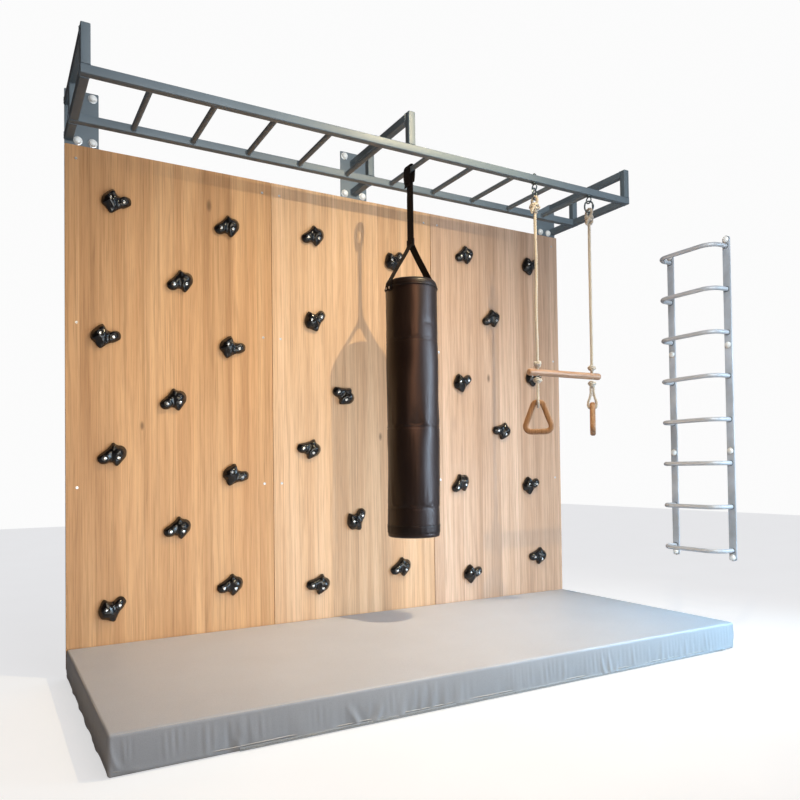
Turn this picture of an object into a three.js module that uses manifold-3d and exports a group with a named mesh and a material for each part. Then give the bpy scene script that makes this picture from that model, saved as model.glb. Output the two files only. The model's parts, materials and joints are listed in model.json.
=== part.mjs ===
// Indoor climbing wall: three wooden panels with bolt-on holds, a steel monkey-bar
// frame carried by three wall brackets, a hanging punch bag, a trapeze with two
// triangular rings, a steel wall ladder and a landing mat.
// Millimetres. +Z up, +X along the wall to the right, +Y into the wall.
// Origin: the middle of the mat's underside, on the floor.
import * as THREE from "three";
import { mergeVertices } from "three/addons/utils/BufferGeometryUtils.js";
import Module from "manifold-3d";

const wasm = await Module();
wasm.setup();

// ---- shared dimensions --------------------------------------------------
const GAP = 0.3; // clearance between separate pieces
const OVERLAP = 1; // how far joined parts run into each other
const WALL_W = 2400;
const HALF_WALL = WALL_W / 2;
const MAT_D = 1010;
const MAT_TO_PANEL = 3;
const PANEL_T = 18;
const Y_FACE = MAT_D / 2 + MAT_TO_PANEL; // front face of the panels
const Y_WALL = Y_FACE + PANEL_T; // wall plane behind the panels and plates
const TUBE = 30; // square tube of the frame and brackets
const HALF_TUBE = TUBE / 2;
const RAIL_Z = 2010; // centre height of the monkey bars
const FRONT_RAIL_Y = 15; // rail centrelines
const BACK_RAIL_Y = 362;
const MID_RAIL_Y = (FRONT_RAIL_Y + BACK_RAIL_Y) / 2;
const RUNG_COUNT = 10;
const RUNG_FIRST = -984; // X of the leftmost rung
const RUNG_PITCH = 216.5;
const RUNG_R = 10;

// ---- materials ----------------------------------------------------------
const MATERIAL = {
  oak: { color: 0xdcb07c, roughness: 0.5 },
  frameSteel: { color: 0x6f7c80, roughness: 0.45, metalness: 0.35 },
  ladderSteel: { color: 0x8b979b, roughness: 0.4, metalness: 0.6 },
  zinc: { color: 0xb9bec2, roughness: 0.3, metalness: 0.9 },
  blackPlastic: { color: 0x141416, roughness: 0.28 },
  matVinyl: { color: 0xa8a59c, roughness: 0.45 },
  foam: { color: 0xd9cfa0, roughness: 0.95 },
  bagVinyl: { color: 0x1d1b1b, roughness: 0.38 },
  bagFilling: { color: 0x4a4744, roughness: 0.95 },
  webbing: { color: 0x151515, roughness: 0.8 },
  rope: { color: 0xe6dcc6, roughness: 0.85 },
  beech: { color: 0xc99b63, roughness: 0.5 },
};

// ---- helpers ------------------------------------------------------------
const group = new THREE.Group();
const QUARTER_TURN = Math.PI / 2;
const FULL_TURN = 2 * Math.PI;
const MERGE_TOLERANCE = 1e-4;
const { degToRad } = THREE.MathUtils;

function add(name, geometry, material, position = [0, 0, 0], rotation = [0, 0, 0]) {
  const mesh = new THREE.Mesh(geometry, new THREE.MeshStandardMaterial(material));
  mesh.name = name;
  mesh.position.set(...position);
  mesh.rotation.set(...rotation);
  group.add(mesh);
}

function toSolid(geometry) {
  const bare = geometry.clone();
  bare.deleteAttribute("normal");
  bare.deleteAttribute("uv");
  const merged = mergeVertices(bare, MERGE_TOLERANCE);
  return new wasm.Manifold(
    new wasm.Mesh({
      numProp: 3,
      vertProperties: new Float32Array(merged.attributes.position.array),
      triVerts: new Uint32Array(merged.index.array),
    }),
  );
}

function toGeometry(manifold) {
  const mesh = manifold.getMesh();
  const positions = new Float32Array(mesh.numVert * 3);
  for (let i = 0; i < mesh.numVert; i++)
    for (let k = 0; k < 3; k++)
      positions[i * 3 + k] = mesh.vertProperties[i * mesh.numProp + k];
  return new THREE.BufferGeometry()
    .setAttribute("position", new THREE.BufferAttribute(positions, 3))
    .setIndex(new THREE.BufferAttribute(new Uint32Array(mesh.triVerts), 1));
}

const join = (...parts) =>
  toGeometry(parts.map(toSolid).reduce((whole, part) => whole.add(part)));
const cut = (base, ...tools) =>
  toGeometry(tools.map(toSolid).reduce((whole, tool) => whole.subtract(tool), toSolid(base)));

function box(x0, x1, y0, y1, z0, z1) {
  return new THREE.BoxGeometry(x1 - x0, y1 - y0, z1 - z0)
    .translate((x0 + x1) / 2, (y0 + y1) / 2, (z0 + z1) / 2);
}

// Cylinder along an axis letter, centred on (x, y, z).
function rod(axis, radius, length, x, y, z, sides = 12) {
  const cylinder = new THREE.CylinderGeometry(radius, radius, length, sides);
  if (axis === "x") cylinder.rotateZ(QUARTER_TURN);
  if (axis === "z") cylinder.rotateX(QUARTER_TURN);
  return cylinder.translate(x, y, z);
}

const toPoints = (pairs) => pairs.map(([x, y]) => new THREE.Vector2(x, y));
const rectangle = (x0, x1, y0, y1) => toPoints([[x0, y0], [x1, y0], [x1, y1], [x0, y1]]);
const circle = (radius, count) =>
  toPoints(Array.from({ length: count }, (_, i) => {
    const angle = (FULL_TURN * i) / count;
    return [radius * Math.cos(angle), radius * Math.sin(angle)];
  }));

// Stands work drawn in the XY plane up in XZ; its local +Z then points along -Y.
const standXZ = (geometry) => geometry.rotateX(QUARTER_TURN);
// The same, then turned to lie in the YZ plane.
const standYZ = (geometry) => standXZ(geometry).rotateZ(QUARTER_TURN);
// Turned shape about Z from [radius, height] pairs.
const lathe = (profile, sides) =>
  standXZ(new THREE.LatheGeometry(toPoints(profile), sides));

const extrude = (shape, depth, curveSegments) =>
  new THREE.ExtrudeGeometry(shape, { depth, bevelEnabled: false, curveSegments });

// Round wire along a closed anticlockwise loop of points, in the XY plane.
// A torus gives the mesh layout and its vertices are moved onto the loop.
function loopWire(points, radius, sides = 8) {
  const count = points.length;
  const torus = new THREE.TorusGeometry(1, 0.2, sides, count);
  const position = torus.attributes.position;
  for (let j = 0; j <= sides; j++) {
    const angle = ((j % sides) / sides) * FULL_TURN;
    const outward = radius * Math.cos(angle);
    for (let i = 0; i <= count; i++) {
      const before = points[(i + count - 1) % count];
      const here = points[i % count];
      const after = points[(i + 1) % count];
      const tangent = new THREE.Vector2().subVectors(after, before).normalize();
      position.setXYZ(j * (count + 1) + i, here.x + tangent.y * outward,
        here.y - tangent.x * outward, radius * Math.sin(angle));
    }
  }
  return torus;
}

// Points of a closed anticlockwise polygon with rounded corners.
// radii: one radius for all corners, or a list with one for each.
function roundedLoop(corners, radii, perCorner = 5) {
  const count = corners.length;
  return corners.flatMap((corner, i) => {
    const toPrevious = new THREE.Vector2()
      .subVectors(corners[(i + count - 1) % count], corner).normalize();
    const toNext = new THREE.Vector2()
      .subVectors(corners[(i + 1) % count], corner).normalize();
    const halfAngle = Math.acos(toPrevious.dot(toNext)) / 2;
    const radius = Array.isArray(radii) ? radii[i] : radii;
    const along = radius / Math.tan(halfAngle); // corner to tangent point
    const centre = new THREE.Vector2().addVectors(toPrevious, toNext).normalize()
      .multiplyScalar(radius / Math.sin(halfAngle)).add(corner);
    const start = toPrevious.multiplyScalar(along).add(corner).sub(centre);
    const end = toNext.multiplyScalar(along).add(corner).sub(centre);
    const startAngle = Math.atan2(start.y, start.x);
    let endAngle = Math.atan2(end.y, end.x);
    while (endAngle < startAngle) endAngle += FULL_TURN;
    return Array.from({ length: perCorner }, (_, k) => {
      const angle = startAngle + ((endAngle - startAngle) * k) / (perCorner - 1);
      return new THREE.Vector2(
        centre.x + radius * Math.cos(angle), centre.y + radius * Math.sin(angle));
    });
  });
}

// ---- panels -------------------------------------------------------------
const PANEL_NAMES = ["panel_left", "panel_middle", "panel_right"];
const PANEL_W = WALL_W / PANEL_NAMES.length;
const PANEL_SEAM = 3;
const PANEL_Z0 = 32;
const PANEL_Z1 = 1976;
// Behind this depth the middle panel is wider, so the seam narrows to the clearance.
const SEAM_DEPTH = 6;
const SEAM_LIP = PANEL_SEAM - GAP;

PANEL_NAMES.forEach((name, i) => {
  const last = PANEL_NAMES.length - 1;
  const x0 = -HALF_WALL + i * PANEL_W + (i > 0 ? PANEL_SEAM / 2 : 0);
  const x1 = -HALF_WALL + (i + 1) * PANEL_W - (i < last ? PANEL_SEAM / 2 : 0);
  let panel = box(x0, x1, Y_FACE, Y_WALL, PANEL_Z0, PANEL_Z1);
  if (name === "panel_middle")
    panel = join(panel, box(x0 - SEAM_LIP, x1 + SEAM_LIP, Y_FACE + SEAM_DEPTH, Y_WALL,
      PANEL_Z0, PANEL_Z1));
  add(name, panel, MATERIAL.oak);
});

// ---- climbing holds -----------------------------------------------------
// Outlines of the two hold shapes: [X, Z] from the hold's centre.
const HOLD_OUTLINE = {
  A: [
    [52, 4], [50, 17], [40, 27], [26, 28], [14, 21], [2, 21], [-7, 26], [-18, 38],
    [-27, 37], [-40, 22], [-52, 1], [-51, -24], [-38, -35], [-22, -46], [-9, -51],
    [3, -42], [14, -29], [33, -17], [46, -6],
  ],
  B: [
    [55, 15], [50, 37], [35, 46], [22, 50], [12, 55], [3, 52], [-7, 40], [-25, 27],
    [-43, 15], [-49, 2], [-45, -12], [-29, -20], [-7, -17], [6, -19], [13, -27],
    [22, -30], [32, -22], [43, -9], [52, 3],
  ],
};
const HOLD_CORE = 30; // depth of the straight sides
const HOLD_CHAMFER = 14; // depth of the front chamfer
const HOLD_INSET = 12; // how far the front outline is pulled towards the centre
const HOLD_BEVEL = HOLD_INSET - 1; // width of the chamfer

function holdGeometry(outline) {
  const front = toPoints(outline).map((point) =>
    point.multiplyScalar(1 - HOLD_INSET / point.length()));
  const body = new THREE.ExtrudeGeometry(new THREE.Shape(front), {
    depth: HOLD_CORE,
    bevelSegments: 1,
    bevelSize: HOLD_BEVEL,
    bevelThickness: HOLD_CHAMFER,
  });
  // The back chamfer is cut off so that the hold lies flat on the panel.
  return standXZ(cut(body, box(-80, 80, -80, 80, -40, 0)));
}

// Shape, X, Z, turn in the panel plane (degrees, anticlockwise seen from the room).
const HOLDS = [
  // left panel
  ["A", -1020, 1787, -13], ["B", -597, 1743, 4], ["B", -787, 1493, 8],
  ["A", -1060, 1268, -14], ["A", -573, 1261, -18], ["B", -816, 1020, 8],
  ["B", -1044, 805, 3], ["A", -563, 736, -24], ["B", -805, 517, 0],
  ["A", -1041, 245, 17], ["B", -597, 276, -5],
  // middle panel
  ["B", -216, 1762, 3], ["A", 197, 1724, 20], ["A", -205, 1410, 19],
  ["B", -84, 1078, -43], ["B", -249, 835, -24], ["A", -14, 533, 30],
  ["B", -211, 247, -18], ["B", 206, 286, 0], ["A", 214, 1262, -10],
  ["B", 210, 770, 6],
  // right panel
  ["B", 589, 1788, 4], ["A", 1010, 1805, 7], ["B", 748, 1488, 6],
  ["A", 573, 1176, 8], ["A", 1024, 1224, 3], ["B", 799, 929, -22],
  ["B", 549, 664, 16], ["A", 992, 665, 0], ["B", 1021, 284, -16],
  ["A", 618, 241, -5],
];
const holdShapes = { A: holdGeometry(HOLD_OUTLINE.A), B: holdGeometry(HOLD_OUTLINE.B) };

HOLDS.forEach(([shape, x, z, turn], i) =>
  add(`hold_${String(i + 1).padStart(2, "0")}`, holdShapes[shape].clone(),
    MATERIAL.blackPlastic, [x, Y_FACE - GAP, z], [0, degToRad(-turn), 0]));

// ---- monkey-bar frame ---------------------------------------------------
function frameGeometry() {
  const z0 = RAIL_Z - HALF_TUBE;
  const z1 = RAIL_Z + HALF_TUBE;
  const rails = [FRONT_RAIL_Y, BACK_RAIL_Y].map((y) =>
    box(-HALF_WALL, HALF_WALL, y - HALF_TUBE, y + HALF_TUBE, z0, z1));
  const ends = [-HALF_WALL, HALF_WALL - TUBE].map((x) =>
    box(x, x + TUBE, FRONT_RAIL_Y, BACK_RAIL_Y, z0, z1));
  const rungs = Array.from({ length: RUNG_COUNT }, (_, i) =>
    rod("y", RUNG_R, BACK_RAIL_Y - FRONT_RAIL_Y, RUNG_FIRST + i * RUNG_PITCH,
      MID_RAIL_Y, RAIL_Z));
  return join(...rails, ...ends, ...rungs);
}
add("monkey_bar_frame", frameGeometry(), MATERIAL.frameSteel);

// ---- wall brackets ------------------------------------------------------
const ARM_TOP = 2156;
const PLATE_T = 4;
const PLATE_Z0 = 1978;
const PLATE_Z1 = 2190;
const END_PLATE_W = 120;
const MID_PLATE_W = 130;
const PLATE_SHOULDER = 5; // flat top of the right plate beyond the arm
const PLATE_SLOPE_DROP = 50; // fall of its sloping edge

// plateOutline: [X, Z] points of the wall plate.
function bracketGeometry(tubeX, plateOutline) {
  const x0 = tubeX - HALF_TUBE;
  const x1 = tubeX + HALF_TUBE;
  const armEnd = Y_WALL - PLATE_T + OVERLAP;
  const railTop = RAIL_Z + HALF_TUBE;
  const plate = standXZ(extrude(new THREE.Shape(plateOutline), PLATE_T))
    .translate(0, Y_WALL, 0);
  const upperArm = box(x0, x1, FRONT_RAIL_Y, armEnd, ARM_TOP - TUBE, ARM_TOP);
  const frontPost = box(x0, x1, FRONT_RAIL_Y - HALF_TUBE, FRONT_RAIL_Y + HALF_TUBE,
    railTop + GAP, ARM_TOP);
  const rearPost = box(x0, x1, BACK_RAIL_Y - HALF_TUBE, BACK_RAIL_Y + HALF_TUBE,
    railTop + GAP, ARM_TOP - HALF_TUBE);
  const lowerStub = box(x0, x1, BACK_RAIL_Y + HALF_TUBE + GAP, armEnd,
    RAIL_Z - HALF_TUBE, railTop);
  return join(plate, upperArm, frontPost, rearPost, lowerStub);
}

const leftPlate = rectangle(-HALF_WALL, -HALF_WALL + END_PLATE_W, PLATE_Z0, PLATE_Z1);
const middlePlate = rectangle(-MID_PLATE_W / 2, MID_PLATE_W / 2, PLATE_Z0, PLATE_Z1);
// The right plate stops at the arm's top and slopes down on its inner side.
const rightPlate = toPoints([
  [HALF_WALL - END_PLATE_W, PLATE_Z0],
  [HALF_WALL, PLATE_Z0],
  [HALF_WALL, ARM_TOP],
  [HALF_WALL - TUBE - PLATE_SHOULDER, ARM_TOP],
  [HALF_WALL - END_PLATE_W, ARM_TOP - PLATE_SLOPE_DROP],
]);
[
  ["bracket_left", -HALF_WALL + HALF_TUBE, leftPlate],
  ["bracket_middle", 0, middlePlate],
  ["bracket_right", HALF_WALL - HALF_TUBE, rightPlate],
].forEach(([name, tubeX, plate]) =>
  add(name, bracketGeometry(tubeX, plate), MATERIAL.frameSteel));

// ---- landing mat --------------------------------------------------------
const MAT_H = 110;
const MAT_EDGE = 14; // size of the rounded edges; each inner layer's is 1 smaller
const MAT_SKIN = 2;
const FOAM_CLEARANCE = 2;
const ZIP = {
  x0: -870,
  x1: HALF_WALL - 60,
  y0: -MAT_D / 2 - 5,
  y1: -MAT_D / 2 + 14,
  z0: 8,
  z1: 10,
};

// Block with rounded edges, set in from the mat's outside on every face.
function padGeometry(inset, edge) {
  const x = HALF_WALL - inset - edge;
  const y = MAT_D / 2 - inset - edge;
  const outline = roundedLoop(rectangle(-x, x, -y, y), edge + 0.5, 4);
  return new THREE.ExtrudeGeometry(new THREE.Shape(outline), {
    depth: MAT_H - 2 * inset - 2 * edge,
    bevelSegments: 2,
    bevelSize: edge,
    bevelThickness: edge,
  }).translate(0, 0, inset + edge);
}

// The cover is a sewn skin, open along the zip low in its front face.
add("mat_cover", cut(padGeometry(0, MAT_EDGE), padGeometry(MAT_SKIN, MAT_EDGE - 1),
  box(ZIP.x0, ZIP.x1, ZIP.y0, ZIP.y1, ZIP.z0, ZIP.z1)), MATERIAL.matVinyl);
add("mat_foam", padGeometry(MAT_SKIN + FOAM_CLEARANCE, MAT_EDGE - 2), MATERIAL.foam);

// ---- wall ladder, on the side wall at the right -------------------------
const LADDER_X = 1497; // room side of the two flat bars
const LADDER_BAR_T = 6;
const LADDER_BAR_W = 38;
const LADDER_Y = [-295, 17]; // centrelines of the bars
const LADDER_Z0 = 314;
const LADDER_Z1 = 1799;
const LADDER_RUNGS = 8;
const LADDER_RUNG_Z0 = 360;
const LADDER_PITCH = 199.5;
const LADDER_RUNG_R = 10;
const LADDER_STANDOFF = 100;
const LADDER_BEND_R = 62;
const BEZIER_ARC = 0.5523; // handle length over radius for a quarter circle

// Round bar bent to a U, with both ends let into the flat bars.
function ladderRung(z) {
  const [y0, y1] = LADDER_Y;
  const endX = LADDER_X + LADDER_BAR_T / 2;
  const gripX = LADDER_X - LADDER_STANDOFF;
  const bend = LADDER_BEND_R;
  const short = bend - bend * BEZIER_ARC; // from a handle's tip to the sharp corner
  const at = (x, y) => new THREE.Vector3(x, y, z);
  const path = new THREE.CurvePath();
  path.add(new THREE.LineCurve3(at(endX, y0), at(gripX + bend, y0)));
  path.add(new THREE.CubicBezierCurve3(at(gripX + bend, y0), at(gripX + short, y0),
    at(gripX, y0 + short), at(gripX, y0 + bend)));
  path.add(new THREE.LineCurve3(at(gripX, y0 + bend), at(gripX, y1 - bend)));
  path.add(new THREE.CubicBezierCurve3(at(gripX, y1 - bend), at(gripX, y1 - short),
    at(gripX + short, y1), at(gripX + bend, y1)));
  path.add(new THREE.LineCurve3(at(gripX + bend, y1), at(endX, y1)));
  const section = new THREE.Shape().absarc(0, 0, LADDER_RUNG_R, 0, FULL_TURN);
  return new THREE.ExtrudeGeometry(section, {
    steps: 12, extrudePath: path, curveSegments: 4, bevelEnabled: false });
}

const ladderBars = LADDER_Y.map((y) =>
  box(LADDER_X, LADDER_X + LADDER_BAR_T, y - LADDER_BAR_W / 2, y + LADDER_BAR_W / 2,
    LADDER_Z0, LADDER_Z1));
const ladderRungs = Array.from({ length: LADDER_RUNGS }, (_, i) =>
  ladderRung(LADDER_RUNG_Z0 + i * LADDER_PITCH));
add("wall_ladder", join(...ladderBars, ...ladderRungs), MATERIAL.ladderSteel);

// ---- punch bag ----------------------------------------------------------
const BAG_X = RUNG_FIRST + 5 * RUNG_PITCH; // hangs from the sixth rung
const BAG_Y = MID_RAIL_Y;
const BAG_R = 110;
const BAG_Z0 = 467;
const BAG_H = 1070;
const BAG_SKIN = 3;
const BAG_SIDES = 24;
const STRAP_W = 50;
const STRAP_T = 5;
const STRAP_HINGE_Z = 1950; // centre of the strap's rounded top
const STRAP_SPLIT_Z = 1697; // top of the block where the strap divides
const LOOP_R = 15;
const LOOP_NECK_Z = -22; // below the rung's centre
const LEG_T = 4;
const LEG_DROP = 12; // legs start this far below the split
const LEG_EXTRA = 6; // added to the leg's length, half at each end
const LEG_RIM_DEPTH = 8;
const LEG_RIM_INSET = 13;
const BLOCK_T = 12;
const BLOCK_H = 22;

// Sewn loop round the rung.
function bagLoop() {
  const tailZ = STRAP_HINGE_Z + STRAP_W / 2 + 0.5 - RAIL_Z;
  const halfTail = STRAP_T / 2 + 1;
  const shape = new THREE.Shape();
  shape.moveTo(-halfTail, tailZ);
  shape.lineTo(halfTail, tailZ);
  shape.lineTo(halfTail, LOOP_NECK_Z);
  shape.absarc(0, 0, LOOP_R, degToRad(-50), degToRad(230), false);
  shape.lineTo(-halfTail, LOOP_NECK_Z);
  shape.closePath();
  shape.holes.push(new THREE.Path().absarc(0, 0, RUNG_R + 0.8, 0, FULL_TURN, true));
  return standXZ(extrude(shape, STRAP_W, 16)).translate(0, STRAP_W / 2, 0);
}

// Strap with a rounded upper end.
function bagStrap() {
  const halfWidth = STRAP_W / 2 - 0.5;
  const bottom = STRAP_SPLIT_Z + 1 - STRAP_HINGE_Z;
  const shape = new THREE.Shape();
  shape.moveTo(-halfWidth, bottom);
  shape.lineTo(halfWidth, bottom);
  shape.absarc(0, 0, halfWidth, 0, Math.PI, false);
  shape.closePath();
  return standYZ(extrude(shape, STRAP_T, 12).translate(0, 0, -STRAP_T / 2));
}

// Two legs from the junction block down to the inside of the rim.
function bagLegStraps() {
  const legTop = STRAP_SPLIT_Z - LEG_DROP;
  const drop = legTop - (BAG_Z0 + BAG_H - LEG_RIM_DEPTH);
  const reach = BAG_R - BAG_SKIN - LEG_RIM_INSET;
  const slope = Math.atan2(reach, drop);
  const length = Math.hypot(reach, drop);
  const legs = [-1, 1].map((side) =>
    new THREE.BoxGeometry(LEG_T, STRAP_W, length + LEG_EXTRA)
      .translate(0, 0, -length / 2)
      .rotateY(-side * slope)
      .translate(0, 0, legTop));
  const block = new THREE.BoxGeometry(BLOCK_T, STRAP_W, BLOCK_H)
    .translate(0, 0, STRAP_SPLIT_Z - BLOCK_H / 2);
  return join(...legs, block);
}

// Tube with a rounded base, open at the top.
function bagCover() {
  const inner = BAG_R - BAG_SKIN;
  return lathe([ // radius, height
    [0, 0], [BAG_R - 26, 0], [BAG_R - 8, 7], [BAG_R, 26], [BAG_R, BAG_H],
    [inner, BAG_H], [inner, 27], [BAG_R - 10, 10], [BAG_R - 27, BAG_SKIN], [0, BAG_SKIN],
  ], BAG_SIDES);
}

function bagFilling() {
  const inset = BAG_SKIN + 1;
  const side = BAG_R - inset;
  return lathe([ // radius, height
    [0, inset], [BAG_R - 28, inset], [BAG_R - 12, 12], [side, 29],
    [side, BAG_H - 22], [BAG_R - 14, BAG_H - 17], [0, BAG_H - 17],
  ], BAG_SIDES);
}

add("bag_loop", bagLoop(), MATERIAL.webbing, [BAG_X, BAG_Y, RAIL_Z]);
add("bag_strap", bagStrap(), MATERIAL.webbing, [BAG_X, BAG_Y, STRAP_HINGE_Z]);
add("bag_leg_straps", bagLegStraps(), MATERIAL.webbing, [BAG_X, BAG_Y, 0]);
add("bag_cover", bagCover(), MATERIAL.bagVinyl, [BAG_X, BAG_Y, BAG_Z0]);
add("bag_filling", bagFilling(), MATERIAL.bagFilling, [BAG_X, BAG_Y, BAG_Z0]);

// ---- trapeze and rings --------------------------------------------------
// Loop radii, widths and heights are to the centre of the wire or rope.
const TRAPEZE_Y = FRONT_RAIL_Y;
const ROPE_R = 7;
const TAIL_R = 5; // thinner end of the rope, through the bar
const EYE_Z = 1975;
const EYE_R = 13;
const EYE_WIRE = 3.5;
const COLLAR_R = 11;
const COLLAR_H = 4.5;
const SHANK_R = 4;
const HOOK_TOP = 1969.5;
const HOOK_H = 46;
const HOOK_HALF = 15;
const HOOK_WIRE = 3;
const ROPE_EYE_R = 18;
const ROPE_EYE_Z = 1916;
const BAR_Z = 1163;
const BAR_R = 15;
const BAR_X0 = 578;
const BAR_X1 = 998;
const BAR_HOLE = 9;
const UPPER_KNOT_Z = BAR_Z + BAR_R + 14;
const LOWER_KNOT_Z = BAR_Z - BAR_R - 13.5;
const CORD_R = 6.5;
const RING_TOP = 1032;
const RING_ROD = 12.5;
const RING_W = 131;
const RING_H = 127;
const RING_TOP_HALF = 18; // half the width between the upper corners
const SIDES = [ // turn: how the ring hangs turned about the vertical, degrees
  { side: "left", x: 630, turn: -41 },
  { side: "right", x: 952, turn: 45 },
];

// Eye bolt under the front rail, its eye in the YZ plane.
function eyeBolt() {
  const top = RAIL_Z - HALF_TUBE - GAP;
  const shankZ0 = EYE_Z + EYE_R - OVERLAP;
  return join(
    standYZ(loopWire(circle(EYE_R, 16), EYE_WIRE)).translate(0, 0, EYE_Z),
    rod("z", COLLAR_R, COLLAR_H, 0, 0, top - COLLAR_H / 2),
    rod("z", SHANK_R, top - shankZ0, 0, 0, (top + shankZ0) / 2, 8),
  );
}

// Oval hook in the XZ plane, hanging in the eye.
function snapHook() {
  const corners = rectangle(-HOOK_HALF, HOOK_HALF, -HOOK_H / 2, HOOK_H / 2);
  return standXZ(loopWire(roundedLoop(corners, HOOK_HALF - 0.5), HOOK_WIRE));
}

// Spliced eye, splice, run, knot above the bar and tail through the bar.
function ropeGeometry() {
  const eye = standYZ(loopWire(circle(ROPE_EYE_R, 14), ROPE_R))
    .translate(0, 0, ROPE_EYE_Z);
  const eyeBottom = ROPE_EYE_Z - ROPE_EYE_R;
  const tailZ = BAR_Z - BAR_R + 2;
  const run = lathe([ // radius, height
    [0, tailZ], [TAIL_R, tailZ], [TAIL_R, UPPER_KNOT_Z - 13],
    [11, UPPER_KNOT_Z - 9], [13, UPPER_KNOT_Z], [11, UPPER_KNOT_Z + 9],
    [ROPE_R, UPPER_KNOT_Z + 13], [ROPE_R, eyeBottom - 26],
    [12, eyeBottom - 22], [13, eyeBottom - 10], [10, eyeBottom], [0, eyeBottom + 3],
  ], 12);
  return join(eye, run);
}

// Knot under the bar: radius, height.
const ringKnot = () =>
  lathe([[0, -12], [8, -9.5], [11.5, -4], [11.5, 4], [8, 9.5], [0, 12]], 12);

// Cord loop round the ring's top bar.
function ringCord() {
  const top = LOWER_KNOT_Z - 12.5 - CORD_R;
  const bottom = RING_TOP - RING_ROD - CORD_R - 0.6;
  const halfWidth = RING_ROD + CORD_R + 1.2;
  const corners = rectangle(-halfWidth, halfWidth, bottom, top);
  return standYZ(loopWire(roundedLoop(corners, halfWidth - 0.5, 4), CORD_R));
}

// Triangular ring with a short flat top.
function ringGeometry() {
  const bottom = RING_TOP - RING_H;
  const corners = toPoints([[-RING_W / 2, bottom], [RING_W / 2, bottom],
    [RING_TOP_HALF, RING_TOP], [-RING_TOP_HALF, RING_TOP]]);
  return standXZ(loopWire(roundedLoop(corners, [24, 24, 15, 15]), RING_ROD, 10));
}

for (const { side, x, turn } of SIDES) {
  const place = [x, TRAPEZE_Y, 0];
  const rotation = [0, 0, degToRad(turn)];
  add(`eye_bolt_${side}`, eyeBolt(), MATERIAL.zinc, place);
  add(`snap_hook_${side}`, snapHook(), MATERIAL.zinc,
    [x, TRAPEZE_Y, HOOK_TOP - HOOK_H / 2]);
  add(`rope_${side}`, ropeGeometry(), MATERIAL.rope, place);
  add(`ring_knot_${side}`, ringKnot(), MATERIAL.rope, [x, TRAPEZE_Y, LOWER_KNOT_Z]);
  add(`ring_cord_${side}`, ringCord(), MATERIAL.rope, place, rotation);
  add(`ring_${side}`, ringGeometry(), MATERIAL.beech, place, rotation);
}

const ropeHoles = SIDES.map(({ x }) => rod("z", BAR_HOLE, 60, x, TRAPEZE_Y, BAR_Z));
add("trapeze_bar", cut(
  rod("x", BAR_R, BAR_X1 - BAR_X0, (BAR_X0 + BAR_X1) / 2, TRAPEZE_Y, BAR_Z, 16),
  ...ropeHoles), MATERIAL.beech);

export default group;
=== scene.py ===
"""Climbing wall with monkey bars, a wall ladder, a punch bag, a trapeze and a landing mat.

Metres, +Z up. The wall's face looks towards -Y (the front), left is -X, and the floor
lies just below z = 0.
"""
import json
import math

import bmesh
import bpy
import numpy as np
from mathutils import Matrix, Vector

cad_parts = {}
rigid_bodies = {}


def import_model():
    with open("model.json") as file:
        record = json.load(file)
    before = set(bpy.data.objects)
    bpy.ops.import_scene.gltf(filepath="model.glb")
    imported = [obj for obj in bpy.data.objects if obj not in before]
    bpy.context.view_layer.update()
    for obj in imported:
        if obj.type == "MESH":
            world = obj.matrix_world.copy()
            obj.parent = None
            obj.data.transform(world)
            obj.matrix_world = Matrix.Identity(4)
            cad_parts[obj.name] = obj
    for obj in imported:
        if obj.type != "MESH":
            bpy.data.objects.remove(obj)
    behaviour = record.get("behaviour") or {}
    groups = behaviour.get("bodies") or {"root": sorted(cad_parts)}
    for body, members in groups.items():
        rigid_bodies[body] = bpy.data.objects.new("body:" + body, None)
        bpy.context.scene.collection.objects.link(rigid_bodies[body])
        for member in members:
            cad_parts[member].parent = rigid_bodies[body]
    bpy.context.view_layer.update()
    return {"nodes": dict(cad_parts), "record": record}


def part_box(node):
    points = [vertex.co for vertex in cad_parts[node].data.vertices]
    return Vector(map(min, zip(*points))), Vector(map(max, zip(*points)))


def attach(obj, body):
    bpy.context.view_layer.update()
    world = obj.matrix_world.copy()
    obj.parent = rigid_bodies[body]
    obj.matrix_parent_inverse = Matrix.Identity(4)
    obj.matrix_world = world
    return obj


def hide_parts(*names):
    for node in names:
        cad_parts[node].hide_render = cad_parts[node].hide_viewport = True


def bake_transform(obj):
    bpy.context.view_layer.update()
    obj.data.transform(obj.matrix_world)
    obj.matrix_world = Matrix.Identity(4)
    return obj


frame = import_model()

pi = math.pi


def box(name):
    """Low and high corner of a piece of the frame."""
    return [np.array(corner, float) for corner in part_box(name)[:2]]


FACE_Y = box("panel_left")[0][1]  # front of the panels
PANEL_TOP = box("panel_left")[1][2]
WALL_HALF = box("panel_right")[1][0]
TUBE = 0.030  # square tube of the monkey bars
HALF_TUBE = TUBE / 2
BARS_LOW, BARS_HIGH = box("monkey_bar_frame")
RAIL_Z = (BARS_LOW[2] + BARS_HIGH[2]) / 2
FRONT_Y = BARS_LOW[1] + HALF_TUBE
BACK_Y = BARS_HIGH[1] - HALF_TUBE
RUNG_R = 0.0102
JOINTS = {j["name"]: np.array(j["pos_m"]) for j in frame["record"]["behaviour"]["joints"]
          if j["name"] in ("bag_swing_side", "trapeze_swing", "hook_right_swing")}
BAG_PIVOT = JOINTS["bag_swing_side"]
ROPE_PIVOTS = {"left": JOINTS["trapeze_swing"], "right": JOINTS["hook_right_swing"]}


# ------------------------------------------------------------------ mesh helpers
def announce(obj, body=None, replaces=()):
    """Hides the parts that an object replaces and hangs it on the body it moves with."""
    if replaces:
        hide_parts(*replaces)
    if body:
        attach(obj, body)


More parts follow.
